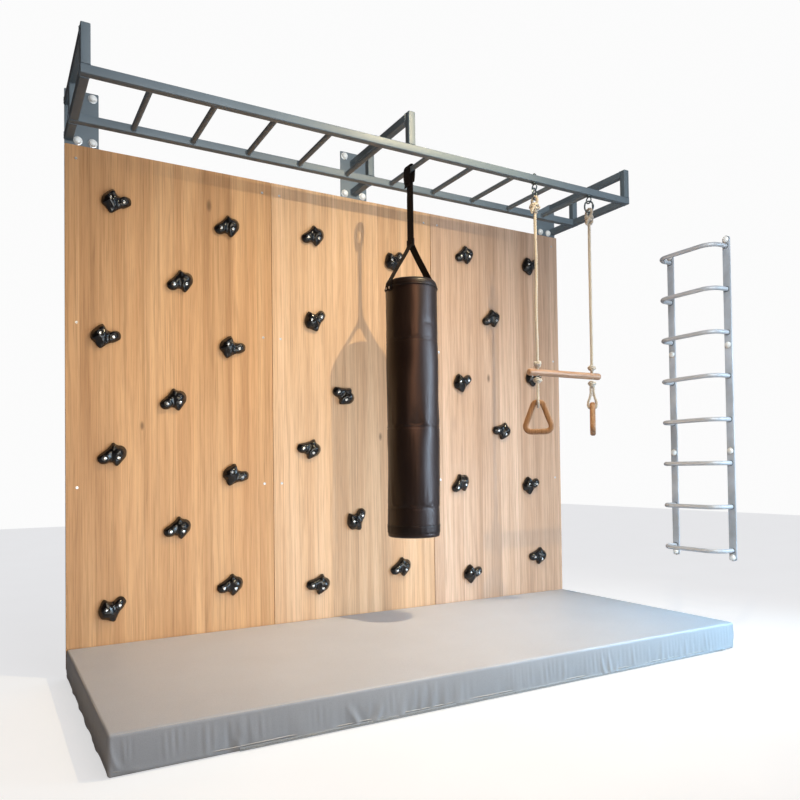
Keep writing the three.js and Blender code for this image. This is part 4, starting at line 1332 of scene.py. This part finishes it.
def ribbon(path, width=WEB_W):
    """Webbing along a path, its width along Y, with slightly thick edges."""
    path = np.asarray(path, float)
    tangent = unit_rows(np.gradient(path, axis=0))
    wide = np.tile((0.0, 1.0, 0.0), (len(path), 1))
    wide = unit_rows(wide - tangent * (wide * tangent).sum(1)[:, None])
    normal = np.cross(tangent, wide)
    across = np.linspace(-0.5, 0.5, 9)
    half = WEB_T / 2 * (1 + 0.25 * hump(np.abs(across), 0.42, 0.06))
    half[0] = half[-1] = WEB_T / 2 * 0.55
    section = np.r_[np.c_[across * width, half], np.c_[across[::-1] * width, -half[::-1]]]
    verts = (path[:, None] + wide[:, None] * section[None, :, :1]
             + normal[:, None] * section[None, :, 1:2]).reshape(-1, 3)
    return verts, capped_faces(len(path), len(section))


def stitches(parts, start, end, normal):
    """A row of stitches between two points."""
    pitch, length, radius = 0.006, 0.004, 0.00045
    path = resample([start, end], pitch)
    for here, after in zip(path[:-1], path[1:]):
        along = (after - here) * (length / pitch)
        stitch = np.array([here, here + along * 0.5 + np.array(normal) * 0.0003, here + along])
        parts.add(sweep(stitch, circle(radius, 5), up=normal), 1)


def strap_line(points):
    """Smooth path through points given from the pivot."""
    return resample(catmull(points, 3), 0.004) + BAG_PIVOT


def arc_over(width, height, start, end, count, y=0.0):
    angles = np.radians(np.linspace(start, end, count))
    return [(width * math.cos(a), y, height * math.sin(a)) for a in angles]


# the loop: over the rung, both layers meet below it and run down together
loop = Parts()
LOOP_R = RUNG_R + WEB_T / 2 + 0.0006
STRAP_LOW = 1.893 - PIVOT_Z
rise = [(LAYER_X, 0, z) for z in np.linspace(STRAP_LOW, -0.055, 14)]
rise += [(LAYER_X + 0.0006, 0, -0.045), (LAYER_X + 0.0036, 0, -0.030),
         (LOOP_R * 0.86, 0, -0.013)]
tail = [(-LOOP_R * 0.98, 0, -0.010), (-0.0125, 0.001, -0.026), (-0.0112, 0.002, -0.044),
        (-0.0100, 0.003, -0.060), (-0.0112, 0.003, -0.072)]
loop.add(ribbon(strap_line(rise + arc_over(LOOP_R, LOOP_R, -20, 200, 30) + tail)))
# a slack second turn lies over the first
OUTER_R = LOOP_R + WEB_T + 0.0012
second_turn = [(0.0100, 0.001, -0.052), (0.0128, 0.001, -0.030)]
second_turn += arc_over(OUTER_R, OUTER_R + 0.006, -15, 195, 26, y=0.0015)
second_turn += [(-0.0165, 0.002, -0.026), (-0.0150, 0.002, -0.044), (-0.0140, 0.002, -0.056)]
loop.add(ribbon(strap_line(second_turn), width=WEB_W - 0.003))
# the short return layer is sewn to the long one below the tail
short = [(-LAYER_X - 0.0004 * math.sin(k), 0, z)
         for k, z in enumerate(np.linspace(STRAP_LOW, -0.050, 16))]
loop.add(ribbon(BAG_PIVOT + short, width=WEB_W - 0.002))
for side in (-1, 1):
    x, y = side * (WEB_T + 0.0009), WEB_W / 2 - 0.006
    corners = BAG_PIVOT + [(x, -y, -0.078), (x, y, -0.078), (x, y, -0.108), (x, -y, -0.108)]
    for i, j in ((0, 1), (1, 2), (2, 3), (3, 0), (0, 2), (1, 3)):
        stitches(loop, corners[i], corners[j], (side, 0, 0))
obj = loop.done("bag_hanging_loop", [WEBBING, THREAD], sharp=60, slot="webbing",
                replaces=("bag_loop", "bag_strap"))
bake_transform(obj)

strap = Parts()
for side in (-1, 1):
    strap.add(ribbon([(PIVOT_X + side * LAYER_X, PIVOT_Y, z)
                      for z in np.linspace(1.894, 1.696, 46)]))
obj = strap.done("bag_strap_run", [WEBBING], sharp=60, slot="webbing")
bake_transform(obj)

# (distance out from the strap, z) down one leg to the bag's collar
LEG = [(LAYER_X, 1.712), (LAYER_X + 0.002, 1.694), (0.026, 1.652), (0.066, 1.589),
       (0.0945, 1.5435), (0.1035, 1.5325), (0.1095, 1.5235), (0.1124, 1.512),
       (0.1130, 1.496), (0.1128, 1.488)]
RIVET = [(0, 0), (0.0050, 0), (0.0052, 0.0004), (0.0044, 0.0014), (0.0026, 0.0022),
         (0, 0.0025)]


def curve_back(y):
    """How far the bag's round side falls back at y off its middle."""
    return BAG_R - np.sqrt(np.maximum(BAG_R ** 2 - y ** 2, 0))


legs = Parts()
legs.add(sweep([(PIVOT_X, PIVOT_Y, z) for z in np.linspace(1.686, 1.716, 9)],
               rounded_rect(0.0105, WEB_W + 0.005, 0.003), up=(1, 0, 0)))
for side in (-1, 1):
    path = catmull([(PIVOT_X + side * out, PIVOT_Y, z) for out, z in LEG], 10)
    verts, faces = ribbon(resample(path, 0.004))
    hug = np.clip((1.556 - verts[:, 2]) / 0.026, 0, 1)
    verts[:, 0] -= side * hug * curve_back(verts[:, 1] - PIVOT_Y)
    legs.add((verts, faces))
    x = PIVOT_X + side * 0.0056
    for y in (PIVOT_Y - 0.018, PIVOT_Y + 0.018):
        stitches(legs, (x, y, 1.690), (x, y, 1.713), (side, 0, 0))
    # rivets where the leg ends on the collar
    for y in (-0.012, 0.012):
        out = 0.1130 + WEB_T / 2 - curve_back(y) - 0.0004
        legs.add(lathe(RIVET, 18, "x" if side > 0 else "-x",
                       (BAG_X + side * out, BAG_Y + y, 1.498)), 2)
legs.done("bag_legs", [WEBBING, THREAD, ZINC], "bag", sharp=60, slot="webbing",
          replaces=("bag_leg_straps",))

# ------------------------------------------------------------------ trapeze
BAR_Z = 1.163
BAR_R = 0.0150
ROPE_R = 0.0072
EYE_Z = 1.975
TOP_KNOT_Z = 1.884
OVER_BAR_Z = BAR_Z + BAR_R + 0.0212
UNDER_BAR_Z = BAR_Z - BAR_R - 0.0200
RING_TOP = 1.032
# profiles as (radius, height)
EYE_COLLAR = [(0, 0.012), (0.0042, 0.012), (0.0046, 0.0148), (0.0125, 0.0158),
              (0.0130, 0.0165), (0.0128, 0.0185), (0.0118, 0.0194), (0, 0.0195)]
NUT_WASHER = [(0, 0), (0.0105, 0), (0.0108, 0.0008), (0.0104, 0.0016), (0, 0.0016)]
BOLT_END = [(0, 0.006), (0.0038, 0.006), (0.0038, 0.0112), (0.0030, 0.0122), (0, 0.0124)]
GATE_PIN = [(0, -0.0044), (0.0018, -0.0044), (0.0020, 0), (0.0018, 0.0044), (0, 0.0044)]


def strands(parts, at, path, thick, tapered=False):
    """Laid rope of three strands along a path; thick is its share of the rope's radius."""
    path = resample(np.asarray(path) + at, 0.0032)
    normal, binormal = frames_along(path)
    length = np.r_[0, np.cumsum(np.linalg.norm(np.diff(path, axis=0), axis=1))]
    scale = np.ones(len(path))
    if tapered:
        scale = 1 - 0.25 * np.clip((length / length[-1] - 0.85) / 0.15, 0, 1)
    radius = ROPE_R * thick
    strand = radius * 0.54
    for k in range(3):
        angle = (2 * pi * k / 3 + length / 0.036 * 2 * pi)[:, None]
        offset = normal * np.cos(angle) + binormal * np.sin(angle)
        parts.add(sweep(path + offset * ((radius - strand) * scale)[:, None],
                        circle(strand, 9), scale=scale))


def knot_path(z, width, height, flip=1):
    """Overhand knot drawn tight: a trefoil turned on its side."""
    t = np.linspace(0, 2 * pi, 60)
    return np.c_[(np.sin(t) + 2 * np.sin(2 * t)) / 3 * width * 1.25 * flip,
                 -np.sin(3 * t) * width * 0.55,
                 z + (np.cos(t) - 2 * np.cos(2 * t)) / 3 * height]


def coil(radius, bottom, rise, turns, count):
    angle = np.linspace(0, turns * 2 * pi, count)
    return np.c_[radius * np.cos(angle), radius * np.sin(angle),
                 bottom + rise * angle / angle[-1]]


def bar_knot(parts, foot, z, height, wrap_r, wrap_rise, flip=1):
    """Small knot with one and a half wraps, above or below the bar."""
    strands(parts, foot, knot_path(z, 0.0122, height, flip), 0.92)
    strands(parts, foot, coil(wrap_r, z - 0.0065, wrap_rise, 1.5, 40), 0.84)


def eye_bolt(side, x, y):
    parts = Parts()
    parts.add(sweep(in_plane(circle(0.0147, 48), "x", (x, y, EYE_Z - 0.0004)),
                    circle(0.0028, 14), closed=True))
    parts.add(lathe(EYE_COLLAR, 32, at=(x, y, EYE_Z)))
    on_rail = (x, y, RAIL_Z + HALF_TUBE)
    nut = [(0.0086 * math.cos(k * pi / 3 + q), 0.0086 * math.sin(k * pi / 3 + q))
           for k in range(6) for q in (-0.06, 0.06)]
    parts.add(slab(nut, 0.0016, 0.0076, 0.0008, 2, at=on_rail))
    parts.add(lathe(NUT_WASHER, 28, at=on_rail))
    parts.add(lathe(BOLT_END, 20, at=on_rail))
    parts.done("eye_" + side, [HOOKS], "root", slot="zinc", replaces=("eye_bolt_" + side,))


def snap_hook(side, foot, turn):
    """Oval wire hook with a sprung gate."""
    parts = Parts()
    wide, tall = 0.0185, 0.0245
    mid = 1.9697 - tall
    oval = []
    for k in range(80):
        across, up = math.cos(2 * pi * k / 80), math.sin(2 * pi * k / 80)
        oval.append((wide * np.sign(across) * abs(across) ** 0.72, 0,
                     mid + tall * np.sign(up) * abs(up) ** 0.9))
    gate = [(wide, 0, z) for z in np.linspace(mid - 0.009, mid + 0.009, 9)]
    shapes = [sweep(resample(oval, 0.0022, True), circle(0.0036, 12), closed=True,
                    up=(0, 1, 0)),
              sweep(gate, circle(0.0050, 14), scale=[0.80, 0.94, 1, 1, 1, 1, 1, 0.94, 0.80])]
    shapes += [lathe(GATE_PIN, 12, "y", (wide, 0, mid + rise)) for rise in (-0.0085, 0.0085)]
    for shape in shapes:
        parts.add(spin_shape(shape, turn, foot))
    parts.done("hook_" + side, [HOOKS], "hook_" + side, slot="zinc",
               replaces=("snap_hook_" + side,))


def trapeze_rope(side, foot, flip):
    parts = Parts()
    # the eye: leaves the run, goes round the hook and back into the knot
    eye = [(0.003, 0.003, 1.893)]
    for k in range(33):
        angle = -pi / 2 + 0.85 + (2 * pi - 1.7) * k / 32
        eye.append((0, 0.0175 * math.cos(angle), 1.916 + 0.0178 * math.sin(angle)))
    eye.append((-0.003, -0.003, 1.893))
    strands(parts, foot, catmull(eye, 3), 0.92)
    knot_z = TOP_KNOT_Z
    strands(parts, foot, knot_path(knot_z, 0.0165, 0.0200, flip), 0.98)
    strands(parts, foot, coil(0.0140, knot_z - 0.016, 0.030, 2, 50), 0.86)
    free_end = [(-0.004, -0.010, knot_z + 0.004), (-0.018, -0.016, knot_z - 0.004),
                (-0.027, -0.015, knot_z - 0.016), (-0.029, -0.013, knot_z - 0.032)]
    strands(parts, foot, catmull(free_end, 8), 0.8, tapered=True)
    phase = 0 if side == "left" else 2
    run = [(0, 0, knot_z + 0.004), (0, 0, knot_z - 0.02)]
    for t in np.linspace(0.04, 0.97, 14):
        sway = math.sin(t * pi)
        run.append((0.0022 * math.sin(t * 7 + phase) * sway,
                    0.0016 * math.sin(t * 9 + 1) * sway, knot_z + (OVER_BAR_Z - knot_z) * t))
    run += [(0, 0, OVER_BAR_Z), (0, 0, BAR_Z - 0.014)]
    strands(parts, foot, catmull(run, 6), 1)
    bar_knot(parts, foot, OVER_BAR_Z, 0.0120, 0.0112, 0.0135, -flip)
    parts.done("trapeze_rope_" + side, [ROPE], "rope_" + side, sharp=80, slot="rope",
               replaces=("rope_" + side,))


def knot_under_bar(side, foot):
    parts = Parts()
    bar_knot(parts, foot, UNDER_BAR_Z, 0.0118, 0.0110, 0.0130)
    parts.done("knot_under_bar_" + side, [ROPE], "knot_" + side, sharp=80, slot="rope",
               replaces=("ring_knot_" + side,))


def ring_rope(side, foot, turn):
    """Cord from the knot down to the ring, round its top and back up."""
    parts = Parts()
    down = [(0.0, -0.003, UNDER_BAR_Z + 0.002), (0.0, -0.0062, UNDER_BAR_Z - 0.016),
            (0.0006, -0.0064, UNDER_BAR_Z - 0.040), (0.0, -0.0072, RING_TOP + 0.050),
            (0.0, -0.0120, RING_TOP + 0.030), (0.0, -0.0182, RING_TOP + 0.014)]
    under = [(0, 0.0192 * math.cos(a), RING_TOP + 0.0192 * math.sin(a))
             for a in (pi + pi * k / 14 for k in range(15))]
    back = [(-x, -y, z) for x, y, z in down[::-1]]
    strands(parts, foot, spin(catmull(down + under + back, 4), turn), 0.86)
    if side == "right":  # free end beside the ring
        free_end = [(0.002, -0.004, RING_TOP + 0.046), (0.010, -0.010, RING_TOP + 0.038),
                    (0.020, -0.014, RING_TOP + 0.026), (0.024, -0.015, RING_TOP + 0.010)]
        strands(parts, foot, spin(catmull(free_end, 8), turn), 0.72)
    parts.done("ring_rope_" + side, [ROPE], "cord_" + side, sharp=80, slot="rope",
               replaces=("ring_cord_" + side,))


def triangle_ring(side, foot, turn):
    wide, tall, half_top = 0.131, 0.127, 0.018
    corners = np.array([(-wide / 2, RING_TOP - tall), (wide / 2, RING_TOP - tall),
                        (half_top, RING_TOP), (-half_top, RING_TOP)])
    outline = []
    for k, radius in enumerate((0.024, 0.024, 0.015, 0.015)):
        corner = corners[k]
        before, after = unit_rows(np.array([corners[k - 1], corners[(k + 1) % 4]]) - corner)
        half = math.acos(float(before @ after)) / 2
        inward = (before + after) / np.linalg.norm(before + after)
        centre = corner + inward * radius / math.sin(half)
        reach = radius / math.tan(half)
        first, last = (math.atan2(*(corner + edge * reach - centre)[::-1])
                       for edge in (before, after))
        while last < first:
            last += 2 * pi
        for angle in np.linspace(first, last, 14):
            outline.append((centre[0] + radius * math.cos(angle), 0,
                            centre[1] + radius * math.sin(angle)))
    path = spin(resample(outline, 0.0035, True), turn, foot)
    Parts().add(sweep(path, rounded_rect(0.0248, 0.0246, 0.0092, 7), closed=True,
                      up=spin((0, 1, 0), turn))).done(
        "triangle_ring_" + side, [RING_WOOD], "ring_" + side, sharp=70, slot="beech",
        replaces=("ring_" + side,))


# side, turn of the hook, turn of the ring, hand of the top knot
for side, hook_turn, ring_turn, flip in (("left", 25, -41, 1), ("right", -40, 45, -1)):
    x, y, _ = ROPE_PIVOTS[side]
    foot = np.array((x, y, 0))
    eye_bolt(side, x, y)
    snap_hook(side, foot, hook_turn)
    trapeze_rope(side, foot, flip)
    knot_under_bar(side, foot)
    ring_rope(side, foot, ring_turn)
    triangle_ring(side, foot, ring_turn)


def trapeze_grip():
    """Wooden bar with rounded ends and a hole for each rope."""
    low, high = box("trapeze_bar")
    left, right = low[0], high[0]
    # (radius, distance from the end)
    end = [(0, 0), (0.0085, 0.0002), (0.0118, 0.0012), (0.0142, 0.0036), (BAR_R, 0.0066)]
    profile = [(radius, left + inset) for radius, inset in end]
    profile += [(BAR_R + 0.00012 * math.sin(k), left + 0.01 + (right - left - 0.02) * k / 40)
                for k in range(41)]
    profile += [(radius, right - inset) for radius, inset in end[::-1]]
    bar = Parts().add(lathe(profile, 40, "x", (0, ROPE_PIVOTS["left"][1], BAR_Z))).done(
        "trapeze_grip", [BEECH], sharp=70)
    drill = [(0, -0.03), (0.0104, -0.03), (0.0104, 0.03), (0, 0.03)]
    for x, y, _ in ROPE_PIVOTS.values():
        tool = Parts().add(lathe(drill, 28, at=(x, y, BAR_Z))).done("tool", [BEECH])
        hole = bar.modifiers.new("hole", "BOOLEAN")
        hole.operation, hole.solver, hole.object = "DIFFERENCE", "EXACT", tool
        bpy.context.view_layer.objects.active = bar
        bpy.ops.object.modifier_apply(modifier=hole.name)
        bpy.data.objects.remove(tool)
    bar.data.set_sharp_from_angle(angle=math.radians(50))
    announce(bar, "bar", ("trapeze_bar",))


trapeze_grip()


# ------------------------------------------------------------------ floor and world
def stage_floor():
    mesh = bpy.data.meshes.new("floor")
    mesh.from_pydata([(-9, -9, -0.001), (9, -9, -0.001), (9, 9, -0.001), (-9, 9, -0.001)],
                     [], [(0, 1, 2, 3)])
    obj = add_object("floor", mesh)
    sh = Shader("pale_floor")
    col = sh.ramp(sh.noise(scale=3, detail=3), (0.3, 0.50), (0.7, 0.54))
    # seen directly it is a shade brighter, so that it stays pale to the horizon
    glow = sh.node("LightPath", {}, "Is Camera Ray") * 0.62
    mesh.materials.append(sh.finish(Base_Color=col, Roughness=0.85, Emission_Strength=glow,
                                    Emission_Color=(1, 1, 1, 1)))


def studio_world():
    world = bpy.data.worlds.new("studio")
    bpy.context.scene.world = world
    world.use_nodes = True
    graph = Graph(world.node_tree)
    room = graph.tree.nodes["Background"]
    x = graph.split(graph.node("TexCoord", {}, "Generated"))[0]
    # the room is darker on the left; inputs are value, from min and max, to min and max
    side = graph.node("MapRange", {0: x, 1: -0.5, 2: 0.6, 3: 0.0, 4: 1.0},
                      interpolation_type="SMOOTHSTEP")
    tint = graph.mix(side, (0.10, 0.075, 0.06, 1), (0.55, 0.59, 0.68, 1))
    graph.put(room.inputs[0], tint)
    # and dimmer in reflections: 1 - 0.6 * glossy
    glossy = graph.node("LightPath", {}, "Is Glossy Ray")
    dim = graph.node("Math", {0: glossy, 1: -0.6, 2: 1.0}, operation="MULTIPLY_ADD")
    graph.put(room.inputs[1], dim)
    seen = graph.node("Background", {0: (0.97, 0.97, 0.97, 1), 1: 1.0})
    camera_ray = graph.node("LightPath", {}, "Is Camera Ray")
    both = graph.node("MixShader",
                      {0: camera_ray, 1: Signal(graph, room.outputs[0]), 2: seen})
    graph.put(graph.tree.nodes["World Output"].inputs[0], both)


stage_floor()
studio_world()

# ------------------------------------------------------------------ lights
KEY_AT = (0.37, -0.91, 2.62)
# name, place, aim, watts, colour, cone in degrees
SPOTS = [
    ("key_spot", KEY_AT, (-0.20, 0.50, -0.2), 119, (1.0, 0.80, 0.46), 100),
    ("mat_key", KEY_AT, (-0.02, -0.05, 0.1), 104, (1.0, 0.76, 0.62), 62)]
# name, place, aim, watts, colour, width, height
AREAS = [
    ("mat_cool", (2.0, -1.1, 1.1), (0.9, -0.1, 0.1), 22, (0.06, 0.52, 1.0), 0.7, 0.7),
    ("warm_box", (-0.75, -2.9, 1.35), (0.10, 0.19, 1.0), 4, (1.0, 0.70, 0.46), 0.4, 2.2),
    ("cool_box", (2.3, -1.9, 1.1), (0.9, -0.25, 0.4), 13, (0.56, 0.80, 1.0), 0.5, 1.5),
    ("top_soft", (0.2, -1.0, 3.1), (0.1, -0.2, 0.0), 8, (1.0, 0.97, 0.93), 2.2, 1.0),
    ("wall_wash", (0.0, -1.35, 0.30), (0.0, 0.5, 0.55), 25, (0.88, 0.96, 1.0), 2.7, 0.5),
    ("wall_wash_left", (-1.0, -1.3, 1.15), (-0.9, 0.5, 1.2), 11, (1.0, 0.85, 0.62), 0.8, 1.2),
    ("bag_warm", (-0.72, -2.6, 2.05), (0.10, 0.19, 1.25), 33, (1.0, 0.42, 0.22), 1.0, 1.1),
    ("bag_cool", (2.0, -1.7, 1.2), (0.10, 0.19, 1.0), 56, (0.88, 0.85, 1.0), 2.2, 2.2),
    ("metal_fill", (-0.3, -2.3, 1.9), (0.9, -0.1, 1.3), 54, (0.92, 0.97, 1.0), 1.4, 1.4)]
FRAME = ["monkey_bars", "wall_bracket_left", "wall_bracket_middle", "wall_bracket_right"]
BAG = ["punch_bag", "punch_bag_trim", "bag_hanging_loop", "bag_strap_run", "bag_legs"]
WALL = [*PANELS, "panel_screws", "hold_bolts"]
WALL += sorted(o.name for o in bpy.data.objects if o.name.startswith("climbing_hold"))
METAL = FRAME + ["monkey_bar_back_rail", "ladder_rails", "ladder_rungs",
                 "ladder_bolts_and_caps", "bracket_bolts_and_caps"]


def light(name, kind, place, aim, power, colour):
    data = bpy.data.lights.new(name, kind)
    data.energy = power
    data.color = colour
    obj = add_object(name, data)
    obj.location = place
    obj.rotation_euler = (Vector(aim) - Vector(place)).to_track_quat("-Z", "Y").to_euler()
    obj.visible_camera = False
    return obj


def linked(name, members, state):
    """A light-linking collection in which the named objects have the given state."""
    group = bpy.data.collections.new(name)
    for member in members:
        group.objects.link(bpy.data.objects[member])
    for entry in group.collection_objects:
        entry.light_linking.link_state = state
    return group


linking = {}
for name, place, aim, power, colour, cone in SPOTS:
    obj = light(name, "SPOT", place, aim, power, colour)
    obj.data.spot_size = math.radians(cone)
    obj.data.spot_blend = 1.0
    obj.data.shadow_soft_size = 0.012
    linking[name] = obj.light_linking
for name, place, aim, power, colour, width, height in AREAS:
    obj = light(name, "AREA", place, aim, power, colour)
    obj.data.shape = "RECTANGLE"
    obj.data.size, obj.data.size_y = width, height
    linking[name] = obj.light_linking
bpy.data.objects["cool_box"].data.spread = math.radians(80)

# the frame casts no shadow in the spots, nor the frame and the bag in the soft lights
key_exceptions = linked("key_exceptions", FRAME, "EXCLUDE")
for name in ("key_spot", "mat_key"):
    linking[name].blocker_collection = key_exceptions
soft_off = linked("fill_exceptions", FRAME + BAG + ["monkey_bar_back_rail"], "EXCLUDE")
for name in ("warm_box", "cool_box", "top_soft", "wall_wash", "wall_wash_left", "metal_fill"):
    linking[name].blocker_collection = soft_off
# lights that reach only some of the objects
for group_name, members, lights in (
        ("wall_only", WALL, ("wall_wash", "wall_wash_left")),
        ("mat_only", ["landing_mat", "mat_piping", "mat_zip"], ("mat_key", "mat_cool")),
        ("bag_only", BAG, ("bag_warm", "bag_cool")),
        ("metal_only", METAL, ("metal_fill",))):
    group = linked(group_name, members, "INCLUDE")
    for name in lights:
        linking[name].receiver_collection = group

# ------------------------------------------------------------------ camera
CAMERA_AT = (-1.4608, -2.413, 0.7468)
YAW, PITCH, ROLL = (math.radians(value) for value in (29.8762, 1.2359, -0.7431))
ahead = np.array([math.sin(YAW) * math.cos(PITCH), math.cos(YAW) * math.cos(PITCH),
                  math.sin(PITCH)])
level = np.array([math.cos(YAW), -math.sin(YAW), 0.0])
upright = np.cross(level, ahead)
right = level * math.cos(ROLL) + upright * math.sin(ROLL)
up = -level * math.sin(ROLL) + upright * math.cos(ROLL)
camera_data = bpy.data.cameras.new("camera")
camera_data.sensor_width = 36
camera_data.lens = 32.6180205
camera_data.shift_x = 0.0
camera_data.shift_y = 0.067803875
camera_data.clip_end = 60
camera = add_object("camera", camera_data)
camera.matrix_world = Matrix([*zip(right, up, -ahead, CAMERA_AT), (0, 0, 0, 1)])
bpy.context.scene.camera = camera
bpy.context.scene.view_settings.view_transform = "Standard"
